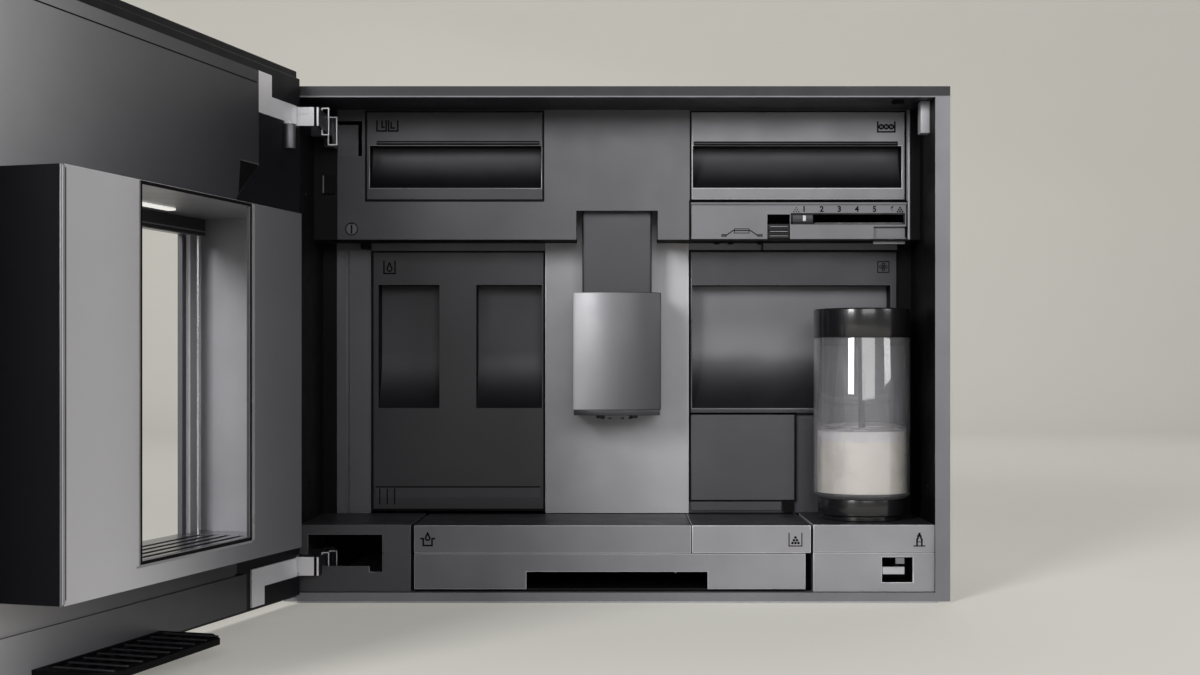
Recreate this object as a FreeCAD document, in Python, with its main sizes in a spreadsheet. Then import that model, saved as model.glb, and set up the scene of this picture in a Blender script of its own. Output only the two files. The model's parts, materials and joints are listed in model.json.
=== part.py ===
"""Built-in coffee machine with a niche door, as a parametric FreeCAD document.

Frame of the part: x to the right, y into the cabinet, z up. The origin is on the underside of the
base plate, in the middle, in the plane where the front frame bears on the cabinet.
The door is built closed and then hung open about its hinge axis.
"""

import FreeCAD
import Part

import math
import os
import re

import Sketcher

# Driving dimensions in millimetres, degrees for angles.
SIZES = {
    # cabinet body
    "housing_half": 279,
    "housing_depth": 356,
    "roof_space": 4.8,
    "sheet": 1,
    "base_sheet": 1.5,
    "over": 1,
    "runner_half_width": 5,
    "runner_inset": 19.5,
    "tray_clear": 0.3,
    "vent_width": 4,
    "vent_length": 60,
    "vent_pitch": 12,
    "vent_count": 9,
    "top_vent_inset": 60,
    "rear_vent_drop": 60,
    # front frame and recess
    "frame_rim": 13,
    "frame_top_rim": 9.5,
    "frame_sheet": 1.2,
    "opening_bottom": 9,
    "sill_depth": 12,
    "liner_return": 7,
    "lip_setback": 1,
    "fixing_hole": 2.25,
    "fixing_depth": 30,
    "fixing_low": 100,
    "fixing_spacing": 260,
    # front planes and the rows of fronts, from the bottom up
    "upper_plane": 62,
    "lower_plane": 103,
    "row_front": 1.5,
    "row_clear": 0.5,
    "row_height": 58.3,
    "lower_height": 254,
    "panel_space": 36,
    "drawer_space": 82.4,
    "fascia_wall": 3,
    "cover_wall": 2.5,
    "cover_depth": 28,
    "window_gap": 0.6,
    "lower_gap": 2,
    "fascia_inset_left": 21.6,
    "fascia_inset_right": 9.3,
    "hinge_window": 22.4,
    "ledge": 2,
    "strip_height": 6.8,
    "column_half": 67.5,
    "post_inset": 13,
    "post_width": 32.3,
    "post_groove_inset": 10,
    "post_groove_width": 2,
    "post_groove_depth": 1.5,
    # inner carrier
    "carrier_space": 16,
    "carrier_wall": 2,
    "deck_drop": 3.2,
    "shelf_clear": 5,
    # storage drawer and bean drawer
    "storage_inset": 48.4,
    "bean_inset": 4.9,
    "drawer_top_gap": 2.1,
    "grip_rise": 10.3,
    "grip_drop": 30.7,
    "grip_depth": 17,
    "grip_scoop": 0.9,
    "grip_margin": 1.6,
    "cup_side": 1.2,
    "storage_back_space": 80,
    "bean_back_space": 50,
    "bin_inset": 4,
    "bin_wall": 2,
    "storage_bin_drop": 26.1,
    "hopper_drop": 13.1,
    "lid_sheet": 2.5,
    "lid_edge": 1,
    "bean_hole": 20,
    # grinder
    "grinder_inset": 81.9,
    "grinder_setback": 113,
    "grinder_radius": 36,
    "grinder_bore": 31,
    "grinder_height": 55.8,
    "floor_sheet": 4,
    "burr_radius": 26,
    "burr_gap": 1,
    "burr_top": 22,
    "burr_rim": 6,
    "ring_rise": 7,
    "shaft_radius": 5,
    "shaft_gap": 0.05,
    "motor_radius": 30,
    "motor_length": 62,
    "motor_bore_depth": 14,
    # grind setting panel
    "panel_inset": 2.9,
    "panel_drop": 4.1,
    "panel_rise": 0.4,
    "track_inset": 2.8,
    "track_length": 102.2,
    "track_drop": 8.9,
    "track_height": 8.1,
    "knob_gap": 0.4,
    "knob_width": 18.8,
    "knob_proud": 1.5,
    "knob_edge": 0.6,
    "lever_inset": 4,
    "lever_setback": 2,
    "lever_length": 12,
    "lever_margin": 2,
    "step_width": 30.3,
    "step_height": 11.5,
    "latch_track_gap": 1.8,
    "latch_width": 20.6,
    "latch_gap": 0.5,
    "latch_height": 14,
    "latch_depth": 8,
    "latch_travel_room": 9,
    "latch_proud": 1,
    "latch_groove": 4,
    # quarter-turn screw
    "screw_inset": 12.9,
    "screw_rise": 9.6,
    "screw_radius": 5,
    "screw_shank": 3,
    "screw_proud": 0.5,
    "screw_length": 14,
    "screw_slot_half": 0.6,
    "screw_slot_depth": 0.8,
    # coffee outlet
    "notch_half": 37.3,
    "notch_drop": 9.6,
    "neck_half": 32,
    "neck_front": 74,
    "neck_back_gap": 5,
    "neck_room": 50.2,
    "neck_edge": 2,
    "head_half": 40,
    "head_drop": 48.8,
    "head_height": 106.5,
    "head_front": 45,
    "head_radius": 85,
    "spout_base_height": 5,
    "spout_inset": 0.8,
    "nozzle_x": 15,
    "nozzle_radius": 4,
    "nozzle_bore": 2.2,
    "nozzle_length": 3,
    "nozzle_setback": 21,
    "nozzle_top": 1,
    "rail_half": 8,
    "rail_rise": 49.5,
    "rail_above": 8.2,
    "rail_depth": 9,
    "slide_gap": 0.35,
    # water tank
    "tank_gap": 2.5,
    "tank_rise": 4.2,
    "tank_back_space": 15,
    "tank_lid_drop": 9,
    "tank_body_inset": 2.75,
    "tank_grip_rise": 94.7,
    "tank_grip_drop": 30.4,
    "tank_grip_depth": 21,
    "tank_grip_scoop": 0.46,
    "tank_grip_margin": 4.6,
    "left_grip_width": 57.3,
    "right_grip_width": 61.8,
    "filler_radius": 22,
    "valve_radius": 7,
    "valve_inset": 30.5,
    "valve_rise": 19,
    "valve_length": 8,
    "valve_seat": 1,
    "socket_radius": 12,
    "socket_gap": 2,
    # brew unit and its cover
    "brew_inset": 4.5,
    "brew_rise": 94.2,
    "brew_top_gap": 1.1,
    "brew_grip_rise": 4.2,
    "brew_grip_drop": 31.6,
    "brew_grip_inset": 5.5,
    "chute_width": 97.9,
    "chute_rise": 12.4,
    "chute_gap": 1.2,
    "cover_edge": 0.8,
    "service_inset": 12.4,
    "service_rise": 2.2,
    "service_gap": 1,
    "unit_inset": 70.5,
    "unit_back_space": 65,
    "unit_half": 55,
    "unit_side": 5,
    "unit_height": 174,
    "chamber_rise": 49,
    "chamber_length": 60,
    "chamber_depth": 32,
    "chamber_bore": 26,
    "piston_gap": 0.1,
    "piston_clear": 2,
    "piston_height": 24,
    "rod_radius": 5,
    "rod_end_gap": 10,
    "drive_radius": 20,
    "drive_height": 55,
    "drive_cap": 4,
    # water circuit
    "pump_radius": 22,
    "pump_back_space": 44,
    "pump_length": 116,
    "pump_rise": 26,
    "pump_nose": 14,
    "pump_nose_wall": 3,
    "saddle_length": 12,
    "heater_left": 215,
    "heater_right": 90,
    "heater_setback": 47,
    "heater_back_space": 40,
    "heater_thickness": 28,
    "heater_edge": 6,
    "valve_block_width": 35.5,
    "valve_block_back_space": 80,
    "valve_block_length": 60,
    "valve_block_rise": 89,
    "valve_block_height": 40,
    "stub_inset": 15,
    "stub_length": 10,
    "stub_wall": 2,
    "hose_radius": 3,
    "hose_bend": 12,
    "hose_back_space": 22,
    "inlet_inset": 77,
    "inlet_z": 45,
    "inlet_half_width": 14,
    "inlet_half_height": 10,
    "inlet_depth": 14,
    "inlet_flange": 4,
    "inlet_sheet": 1.5,
    "inlet_wall": 2,
    "blade_pitch": 7,
    "blade_half_width": 1,
    "blade_half_height": 2,
    # drip tray and grounds container
    "tray_gap": 3,
    "tray_step": 4.5,
    "tray_back_space": 95,
    "tray_wall": 2.5,
    "tray_front_rise": 2,
    "tray_front_wall": 3,
    "seam_drop": 24.4,
    "seam_gap": 0.6,
    "slot_half": 79,
    "slot_above": 9.7,
    "split": 65.1,
    "split_gap": 0.4,
    "cover_top_gap": 0.4,
    "cover_roof": 2.1,
    "cover_back_gap": 1,
    "grounds_gap": 2.3,
    "grounds_back_gap": 5,
    # corner cover and milk bay
    "corner_width": 97,
    "bay_width": 105.7,
    "bay_wall": 2.5,
    "bay_seam_depth": 1,
    "bay_seam_height": 0.8,
    "pocket_inset": 7.6,
    "pocket_width": 64.6,
    "pocket_rise": 22.3,
    "pocket_drop": 8.7,
    "pocket_step": 11,
    "pocket_step_drop": 5,
    "corner_seam_depth": 0.6,
    "corner_seam_height": 0.5,
    "arm_relief": 0.6,
    "arm_relief_side": 1,
    "port_inset": 19,
    "port_width": 27,
    "port_rise": 8.1,
    "port_drop": 3.9,
    "port_wall": 2,
    "port_pin_radius": 4,
    "port_pin_setback": 2,
    "port_body_depth": 30,
    # milk container
    "milk_inset": 54.4,
    "milk_y": 56,
    "milk_radius": 43.5,
    "milk_glass": 2.6,
    "milk_floor": 5,
    "milk_foot": 40,
    "milk_ring": 36,
    "milk_ring_height": 4,
    "milk_edge": 1,
    "milk_heel": 2,
    "milk_heel_height": 3,
    "milk_base": 20,
    "milk_glass_height": 143.8,
    "milk_lid_height": 26.1,
    "milk_fill": 60.2,
    "milk_gap": 0.3,
    "pipe_radius": 3,
    "pipe_wall": 1,
    "pipe_rise": 11.2,
    "lid_plug": 8,
    # hinges
    "axis_outset": 6.1,
    "axis_y": 16.75,
    "door_open": 105.6,
    "hinge_drop": 10.2,
    "hinge_rise": 32,
    "arm_height": 16,
    "arm_sheet": 2.2,
    "arm_outset": 1.6,
    "arm_inset": 19,
    "arm_front": 9.4,
    "pin_radius": 2.8,
    "pin_inset": 11.1,
    "pin_y": 9,
    "pin_drop": 21,
    "pin_ear": 4,
    "cup_width": 9.2,
    "cup_length": 12,
    "cup_height": 25.6,
    "cup_rim": 1.6,
    "cup_rise": 1,
    "bracket_edge": 10,
    "bracket_length": 65,
    "bracket_sheet": 2,
    "slab_notch": 8,
    "notch_gap": 2,
    "upper_foot_width": 22,
    "upper_foot_gap": 7,
    "lower_foot_overlap": 10,
    "lower_foot_width": 20,
    "lower_foot_gap": 2,
    "catch_width": 9,
    "catch_front": 18,
    "catch_depth": 12,
    "catch_height": 28.2,
    "catch_edge": 1.5,
    # door
    "door_overlap": 7,
    "door_low": 6,
    "door_rise": 12.3,
    "door_plane": 20,
    "glass": 4.5,
    "slab_back": 12,
    "slab_top_inset": 7,
    "slab_low_inset": 2,
    "slab_inset": 1,
    "inner_back": 2.5,
    "inner_rise": 4.4,
    "inner_low_gap": 3,
    "inner_right_inset": 7,
    "inner_left_inset": 88,
    "inner_slope": 12,
    "inner_step": 34,
    "inner_foot_step": 19,
    "inner_notch_drop": 75.6,
    "inner_notch_height": 30,
    "inner_foot_height": 29,
    "inner_seam": 2,
    "inner_seam_depth": 1.5,
    "inner_skin": 2.5,
    "flank_gap": 3,
    "niche_half": 141,
    "niche_clear_low": 3,
    "niche_clear_top": 1.8,
    "niche_back": 72.5,
    "niche_wall": 2.5,
    "niche_gap": 0.4,
    "niche_edge": 2,
    "drain_radius": 6,
    "mouth_half": 64,
    "mouth_rise": 6,
    "grate_rise": 10.2,
    "grate_sheet": 2,
    "grate_slot": 5,
    "grate_pitch": 11,
    "grate_count": 6,
    "grate_margin": 26,
    "grate_front_gap": 1,
    "grate_shift": 7,
    "trim_width": 4,
    "trim_clear": 0.2,
    "trim_gap": 0.2,
    "lamp_half": 60,
    "lamp_front": 6,
    "lamp_depth": 16,
    "lamp_height": 5,
    "lamp_edge": 1.5,
    "tongue_half": 70,
    "tongue_reach": 54,
    "tongue_rise": 3,
    "tongue_sheet": 4.5,
    "tongue_corner": 14,
    "tongue_margin": 12,
    "tongue_channels": 4,
    "tongue_channel": 9,
    "tongue_rib": 3,
    "tongue_channel_depth": 2,
}

# Places that follow from the driving dimensions.
PLACES = {
    # across, from the side walls inwards and from the column outwards
    "opening_half": "housing_half - 2 * sheet",
    "frame_half": "opening_half + frame_rim",
    "door_half": "frame_half + door_overlap",
    "fascia_left": "opening_half - fascia_inset_left",
    "fascia_right": "opening_half - fascia_inset_right",
    "post_left": "opening_half - post_inset",
    "post_right": "post_left - post_width",
    "storage_left": "opening_half - storage_inset",
    "storage_right": "column_half + window_gap",
    "bean_left": "column_half + window_gap",
    "bean_right": "fascia_right - bean_inset",
    "grinder_x": "bean_left + grinder_inset",
    "panel_left": "column_half",
    "panel_right": "fascia_right - panel_inset",
    "track_right": "panel_right - track_inset",
    "track_left": "track_right - track_length",
    "step_left": "panel_right - step_width",
    "latch_right": "track_left - latch_track_gap",
    "latch_left": "latch_right - latch_width",
    "screw_x": "fascia_left - screw_inset",
    "tank_left": "post_right - tank_gap",
    "tank_right": "column_half + lower_gap",
    "left_grip_left": "tank_left - tank_grip_margin",
    "left_grip_right": "left_grip_left - left_grip_width",
    "right_grip_right": "tank_right + cup_side",
    "right_grip_left": "right_grip_right + right_grip_width",
    "valve_x": "tank_right + valve_inset",
    "brew_left": "column_half + lower_gap",
    "brew_right": "fascia_right - brew_inset",
    "brew_grip_right": "brew_right - brew_grip_inset",
    "chute_right": "brew_left + chute_width",
    "unit_x": "brew_left + unit_inset",
    "valve_block_left": "column_half - carrier_wall - valve_block_width",
    "stub_x": "valve_block_left + stub_inset",
    "inlet_x": "opening_half - inlet_inset",
    "corner_right": "opening_half - corner_width",
    "pocket_left": "opening_half - pocket_inset",
    "pocket_right": "pocket_left - pocket_width",
    "tray_left": "corner_right - tray_gap",
    "bay_left": "opening_half - bay_width",
    "grounds_right": "bay_left - grounds_gap",
    "tray_right": "grounds_right - tray_step",
    "runner_x": "tray_right - runner_inset",
    "port_right": "opening_half - port_inset",
    "port_left": "port_right - port_width",
    "milk_x": "opening_half - milk_inset",
    "axis_x": "opening_half + axis_outset",
    "arm_left": "opening_half + arm_outset",
    "arm_right": "opening_half - arm_inset",
    "cup_right": "arm_right - arm_sheet",
    "cup_left": "cup_right + cup_width",
    "pin_x": "axis_x - pin_inset",
    "bracket_left": "door_half - bracket_edge",
    "bracket_right": "bracket_left - bracket_length",
    "foot_left": "bracket_right + lower_foot_overlap",
    "foot_right": "foot_left - lower_foot_width",
    "catch_left": "opening_half - catch_width",
    "inner_right": "door_half - inner_right_inset",
    "inner_left": "door_half - inner_left_inset",
    "inner_neck": "inner_left - inner_step",
    "inner_foot": "inner_left - inner_foot_step",
    "trim_half": "niche_half + trim_width",
    "grate_half": "niche_half - grate_margin",
    # deep, from the front planes and from the back
    "liner_depth": "lower_plane + liner_return",
    "neck_back": "lower_plane - neck_back_gap",
    "nozzle_y": "head_front + nozzle_setback",
    "cup_front": "upper_plane - cup_length",
    "catch_back": "catch_front + catch_depth",
    "grinder_y": "upper_plane + grinder_setback",
    "heater_front": "lower_plane + heater_setback",
    "cover_back": "lower_plane - cover_back_gap",
    "lamp_back": "lamp_front + lamp_depth",
    "carrier_back": "housing_depth - carrier_space",
    "storage_back": "carrier_back - storage_back_space",
    "bean_back": "carrier_back - bean_back_space",
    "tank_back": "carrier_back - tank_back_space",
    "unit_y": "carrier_back - unit_back_space",
    "pump_back": "carrier_back - pump_back_space",
    "pump_front": "pump_back - pump_length",
    "heater_back": "carrier_back - heater_back_space",
    "valve_block_back": "carrier_back - valve_block_back_space",
    "valve_block_front": "valve_block_back - valve_block_length",
    "stub_end": "valve_block_back + stub_length",
    "hose_back": "carrier_back - hose_back_space",
    "tray_back": "carrier_back - tray_back_space",
    "grounds_back": "tray_back - grounds_back_gap",
    # up, from the sill to the roof
    "row_bottom": "opening_bottom + row_clear",
    "row_top": "row_bottom + row_height",
    "fascia_bottom": "row_top + lower_height",
    "upper_shelf": "fascia_bottom + panel_space",
    "opening_top": "upper_shelf + drawer_space",
    "frame_height": "opening_top + frame_top_rim",
    "housing_top": "opening_top + roof_space",
    "fixing_high": "fixing_low + fixing_spacing",
    "deck_top": "row_top + deck_drop",
    "row_seam": "row_top - seam_drop",
    "tray_top": "row_seam - seam_gap",
    "tray_front_low": "row_bottom + tray_front_rise",
    "cover_low": "row_top - cover_top_gap - cover_roof",
    "tongue_low": "row_bottom + tongue_rise",
    "slot_top": "tongue_low + tongue_sheet + slot_above",
    "pocket_low": "row_bottom + pocket_rise",
    "pocket_high": "row_top - pocket_drop",
    "port_low": "row_bottom + port_rise",
    "port_high": "row_seam - port_drop",
    "under_strip": "fascia_bottom - strip_height",
    "tank_low": "row_top + tank_rise",
    "tank_high": "under_strip - lower_gap",
    "tank_body_high": "tank_high - tank_lid_drop",
    "tank_grip_low": "tank_low + tank_grip_rise",
    "tank_grip_high": "tank_high - tank_grip_drop",
    "middle_shelf": "tank_high + shelf_clear",
    "heater_high": "middle_shelf + heater_thickness",
    "valve_z": "deck_top + valve_rise",
    "brew_low": "row_top + brew_rise",
    "brew_high": "under_strip - brew_top_gap",
    "brew_grip_low": "brew_low + brew_grip_rise",
    "brew_grip_high": "brew_high - brew_grip_drop",
    "chute_low": "row_top + chute_rise",
    "chute_high": "brew_low - chute_gap",
    "unit_top": "deck_top + unit_height",
    "chamber_low": "deck_top + chamber_rise",
    "chamber_high": "chamber_low + chamber_length",
    "drive_top": "unit_top + drive_height",
    "rod_top": "drive_top - rod_end_gap",
    "pump_z": "deck_top + pump_rise",
    "valve_block_low": "deck_top + valve_block_rise",
    "valve_block_high": "valve_block_low + valve_block_height",
    "stub_z": "valve_block_low + valve_block_height / 2",
    "drawer_low": "upper_shelf + window_gap",
    "drawer_high": "opening_top - drawer_top_gap",
    "grip_low": "drawer_low + grip_rise",
    "grip_high": "drawer_high - grip_drop",
    "storage_bin_high": "drawer_high - storage_bin_drop",
    "hopper_high": "drawer_high - hopper_drop",
    "grinder_top": "upper_shelf - carrier_wall",
    "grinder_floor": "grinder_top - grinder_height",
    "ring_low": "grinder_floor + ring_rise",
    "burr_high": "grinder_floor + burr_top",
    "panel_low": "fascia_bottom + panel_rise",
    "panel_high": "upper_shelf - panel_drop",
    "track_high": "panel_high - track_drop",
    "track_low": "track_high - track_height",
    "step_high": "panel_low + step_height",
    "screw_z": "fascia_bottom + screw_rise",
    "notch_top": "upper_shelf - notch_drop",
    "neck_top": "opening_top - neck_room",
    "head_top": "fascia_bottom - head_drop",
    "head_low": "head_top - head_height",
    "spout_base_low": "head_low - spout_base_height",
    "nozzle_low": "spout_base_low - nozzle_length",
    "rail_low": "head_low + rail_rise",
    "rail_high": "fascia_bottom + rail_above",
    "milk_base_top": "row_top + milk_base",
    "milk_glass_top": "milk_base_top + milk_glass_height",
    "milk_lid_top": "milk_glass_top + milk_lid_height",
    "milk_level": "milk_base_top + milk_fill",
    "pipe_low": "milk_base_top + pipe_rise",
    "hinge_high": "opening_top - hinge_drop",
    "hinge_low": "opening_bottom + hinge_rise",
    "catch_low": "opening_top - catch_height",
    "door_high": "frame_height + door_rise",
    "slab_high": "door_high - slab_top_inset",
    "slab_low": "door_low + slab_low_inset",
    "inner_top": "opening_top + inner_rise",
    "inner_low": "opening_bottom + inner_low_gap",
    "notch_high": "inner_top - inner_notch_drop",
    "notch_low": "notch_high - inner_notch_height",
    "seam_low": "inner_low + inner_foot_height",
    "seam_high": "seam_low + inner_seam",
    "niche_low": "row_top + niche_clear_low",
    "niche_high": "fascia_bottom - niche_clear_top",
    "grate_top": "niche_low + grate_rise",
    "mouth_low": "grate_top + mouth_rise",
    "trim_low": "niche_low - trim_width",
    "trim_high": "niche_high + trim_width",
}

DOC = FreeCAD.newDocument("BuiltInCoffeeMachine")
SHEET = DOC.addObject("Spreadsheet::Sheet", "Sizes")
NODES = {}
WORD = re.compile(r"\b[a-z]\w*\b")


def fill_sheet():
    """Write every driving dimension into the spreadsheet and give its cell an alias."""
    for row, (name, number) in enumerate(SIZES.items(), start=1):
        SHEET.set(f"A{row}", name)
        SHEET.set(f"B{row}", str(number))
        SHEET.setAlias(f"B{row}", name)
    DOC.recompute()


def spelled(found):
    """One word of an expression: a place written out, a size's cell, or the word itself."""
    word = found.group()
    if word in PLACES:
        return f"({bound(PLACES[word])})"
    return f"Sizes.{word}" if word in SIZES else word


def bound(text):
    """The expression with each place written out and each size's name pointing at its cell."""
    return WORD.sub(spelled, text)


def bind(item, target, text):
    """Drive one property of an object by an expression of sizes."""
    item.setExpression(target, bound(text))


def block(name, x, y, z):
    """A box between three (low, high) pairs of expressions."""
    item = DOC.addObject("Part::Box", name)
    for side, (low, high) in zip(("Length", "Width", "Height"), (x, y, z)):
        bind(item, side, f"({high}) - ({low})")
    for axis, (low, _) in zip("xyz", (x, y, z)):
        bind(item, f"Placement.Base.{axis}", low)
    return item


def rod(name, axis, radius, span, centre):
    """A cylinder along X, Y or Z over span (low, high), at the other two coordinates in centre."""
    item = DOC.addObject("Part::Cylinder", name)
    turns = {"X": ((0, 1, 0), 90), "Y": ((1, 0, 0), -90), "Z": ((0, 0, 1), 0)}
    direction, angle = turns[axis]
    item.Placement = FreeCAD.Placement(
        FreeCAD.Vector(), FreeCAD.Rotation(FreeCAD.Vector(*direction), angle)
    )
    bind(item, "Radius", radius)
    bind(item, "Height", f"({span[1]}) - ({span[0]})")
    others = [letter for letter in "XYZ" if letter != axis]
    bind(item, f"Placement.Base.{axis.lower()}", span[0])
    for letter, place in zip(others, centre):
        bind(item, f"Placement.Base.{letter.lower()}", place)
    return item


def fuse(name, *pieces):
    """One solid from pieces that touch or overlap."""
    item = DOC.addObject("Part::MultiFuse", name)
    item.Shapes = list(pieces)
    item.Refine = True
    return item


def cut(name, base, *tools):
    """The base with every tool taken away."""
    item = DOC.addObject("Part::Cut", name)
    item.Base = base
    item.Tool = tools[0] if len(tools) == 1 else fuse(name + "Tools", *tools)
    item.Refine = True
    return item


def overlap(name, first, second):
    """What two pieces have in common."""
    item = DOC.addObject("Part::MultiCommon", name)
    item.Shapes = [first, second]
    return item


def together(name, *pieces):
    """Separate solids that share a node."""
    item = DOC.addObject("Part::Compound", name)
    item.Links = list(pieces)
    return item


def outline(name, plane, points, low, high):
    """A PartDesign body: a polygon sketch on an origin plane, padded from low to high across it."""
    body = DOC.addObject("PartDesign::Body", name)
    sketch = body.newObject("Sketcher::SketchObject", name + "Sketch")
    support = [f for f in body.Origin.OriginFeatures if f.Role == plane][0]
    sketch.AttachmentSupport = [(support, "")]
    sketch.MapMode = "FlatFace"
    draw_polygon(sketch, points)
    pad = body.newObject("PartDesign::Pad", name + "Pad")
    pad.Profile = sketch
    pad.Reversed = plane == "XZ_Plane"
    bind(pad, "Length", f"({high}) - ({low})")
    across = {"XY_Plane": "z", "XZ_Plane": "y", "YZ_Plane": "x"}[plane]
    bind(body, f"Placement.Base.{across}", low)
    return body


def turned(name, points, centre_x, centre_y):
    """A PartDesign body: a half profile of (radius, z) points turned about a vertical axis."""
    body = DOC.addObject("PartDesign::Body", name)
    sketch = body.newObject("Sketcher::SketchObject", name + "Sketch")
    support = [f for f in body.Origin.OriginFeatures if f.Role == "XZ_Plane"][0]
    sketch.AttachmentSupport = [(support, "")]
    sketch.MapMode = "FlatFace"
    draw_polygon(sketch, points)
    lathe = body.newObject("PartDesign::Revolution", name + "Turned")
    lathe.Profile = sketch
    lathe.ReferenceAxis = (sketch, ["V_Axis"])
    lathe.Angle = 360
    bind(body, "Placement.Base.x", centre_x)
    bind(body, "Placement.Base.y", centre_y)
    return body


def draw_polygon(sketch, points):
    """Closed polygon in a sketch; each corner is tied to the origin by two driven distances."""
    DOC.recompute()
    scratch = [tuple(worth(text) for text in pair) for pair in points]
    count = len(points)
    for index, (here, after) in enumerate(zip(scratch, scratch[1:] + scratch[:1])):
        ends = (FreeCAD.Vector(*here, 0), FreeCAD.Vector(*after, 0))
        sketch.addGeometry(Part.LineSegment(*ends), False)
    for index in range(count):
        follower = (index + 1) % count
        sketch.addConstraint(Sketcher.Constraint("Coincident", index, 2, follower, 1))
    for index, pair in enumerate(points):
        for kind, text, number in zip(("DistanceX", "DistanceY"), pair, scratch[index]):
            rule = Sketcher.Constraint(kind, -1, 1, index, 1, number)
            place = sketch.addConstraint(rule)
            sketch.setExpression(f"Constraints[{place}]", bound(text))


def worth(text):
    """The value of an expression of sizes, worked out by the document itself."""
    return float(SHEET.evalExpression(bound(text)))


def rounded(name, base, radius, axis, chosen=lambda middle: True):
    """Fillet the straight edges that run along one axis and whose middle is chosen."""
    DOC.recompute()
    amount = worth(radius)
    direction = FreeCAD.Vector(*(float(letter == axis) for letter in "XYZ"))
    edges = []
    for index, edge in enumerate(base.Shape.Edges, start=1):
        straight = isinstance(edge.Curve, Part.Line) and len(edge.Vertexes) == 2
        if not straight:
            continue
        along = (edge.Vertexes[1].Point - edge.Vertexes[0].Point).normalize()
        if abs(along.dot(direction)) > 0.999 and chosen(edge.CenterOfMass):
            edges.append((index, amount, amount))
    item = DOC.addObject("Part::Fillet", name)
    item.Base = base
    item.Edges = edges
    return item


def node(label, item):
    """Give a finished sub-part the name of its node."""
    item.Label = label
    if item.Label != label:
        raise ValueError(f"another object is already called {label}")
    NODES[label] = item
    return item


def hung(label, *pieces):
    """A sub-part of the door: built closed, turned open about the hinge axis."""
    item = together("Hung_" + label, *pieces)
    item.Placement = FreeCAD.Placement(
        FreeCAD.Vector(), FreeCAD.Rotation(FreeCAD.Vector(0, 0, 1), -1)
    )
    bind(item, "Placement.Rotation.Angle", "-door_open")
    turn = "door_open * 1 deg"
    bind(item, "Placement.Base.x", f"-axis_x + axis_x * cos({turn}) + axis_y * sin({turn})")
    bind(item, "Placement.Base.y", f"-axis_y - axis_x * sin({turn}) + axis_y * cos({turn})")
    return node(label, item)


def grip_cup(name, x, z, plane, depth, scoop):
    """A finger grip in a front, straight above and scooped below: (the cup's outside, the hollow)."""
    low, high = z
    turn = f"({low}) + (({high}) - ({low})) * {scoop}"
    radius = f"((({turn}) - ({low}))^2 + ({depth})^2) / (2 * ({depth}))"
    centre = (f"{plane} + ({depth}) - ({radius})", turn)
    wide = (f"({x[0]}) - cup_side", f"({x[1]}) + cup_side")
    round_shell = rod(name + "Shell", "X", f"{radius} + cover_wall", wide, centre)
    behind = (plane, f"{plane} + cover_depth")
    keep = block(name + "Keep", wide, behind, (f"({low}) - cover_wall", turn))
    round_part = overlap(name + "Round", round_shell, keep)
    back_wall = (plane, f"{plane} + ({depth}) + cover_wall")
    straight_part = block(name + "Back", wide, back_wall, (turn, f"({high}) + cover_wall"))
    outside = fuse(name + "Outside", round_part, straight_part)
    sweep = rod(name + "Sweep", "X", radius, x, centre)
    reach = (f"{plane} - over", f"{plane} + ({depth}) + over")
    below = block(name + "Below", x, reach, (f"({low}) - over", turn))
    above = block(name + "Above", x, (reach[0], f"{plane} + ({depth})"), (turn, high))
    hollow = fuse(name + "Hollow", overlap(name + "Scoop", sweep, below), above)
    return outside, hollow


def front_cover(name, x, z, plane, cups):
    """A hollow moulded front, open at the back, with finger grips."""
    behind = (plane, f"{plane} + cover_depth")
    outside = block(name + "Outside", x, behind, z)
    inside = block(
        name + "Inside",
        (f"({x[0]}) + cover_wall", f"({x[1]}) - cover_wall"),
        (f"{plane} + cover_wall", f"{plane} + cover_depth + over"),
        (f"({z[0]}) + cover_wall", f"({z[1]}) - cover_wall"),
    )
    shell = cut(name + "Shell", outside, inside)
    shells = [cup[0] for cup in cups]
    hollows = [cup[1] for cup in cups]
    return cut(name + "Gripped", fuse(name + "Joined", shell, *shells), *hollows)


def open_bin(name, x, y, z, wall):
    """A box with walls and a floor, open at the top."""
    outside = block(name + "Outside", x, y, z)
    inside = block(
        name + "Inside",
        (f"({x[0]}) + {wall}", f"({x[1]}) - {wall}"),
        (f"({y[0]}) + {wall}", f"({y[1]}) - {wall}"),
        (f"({z[0]}) + {wall}", f"({z[1]}) + over"),
    )
    return cut(name + "Bin", outside, inside)


# ---------------------------------------------------------------- cabinet body


def make_base_plate():
    """Sheet base with the two runners that carry the drip tray."""
    plate = block(
        "BaseSheet",
        ("-housing_half", "housing_half"),
        ("-frame_sheet", "housing_depth - sheet"),
        ("0", "base_sheet"),
    )
    runners = []
    for side in ("-runner_x", "runner_x"):
        runners.append(
            block(
                "Runner",
                (f"{side} - runner_half_width", f"{side} + runner_half_width"),
                ("sill_depth + tray_clear", "carrier_back - carrier_wall"),
                ("base_sheet", "row_bottom - tray_clear"),
            )
        )
    node("base_plate", fuse("BaseWithRunners", plate, *runners))


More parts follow.
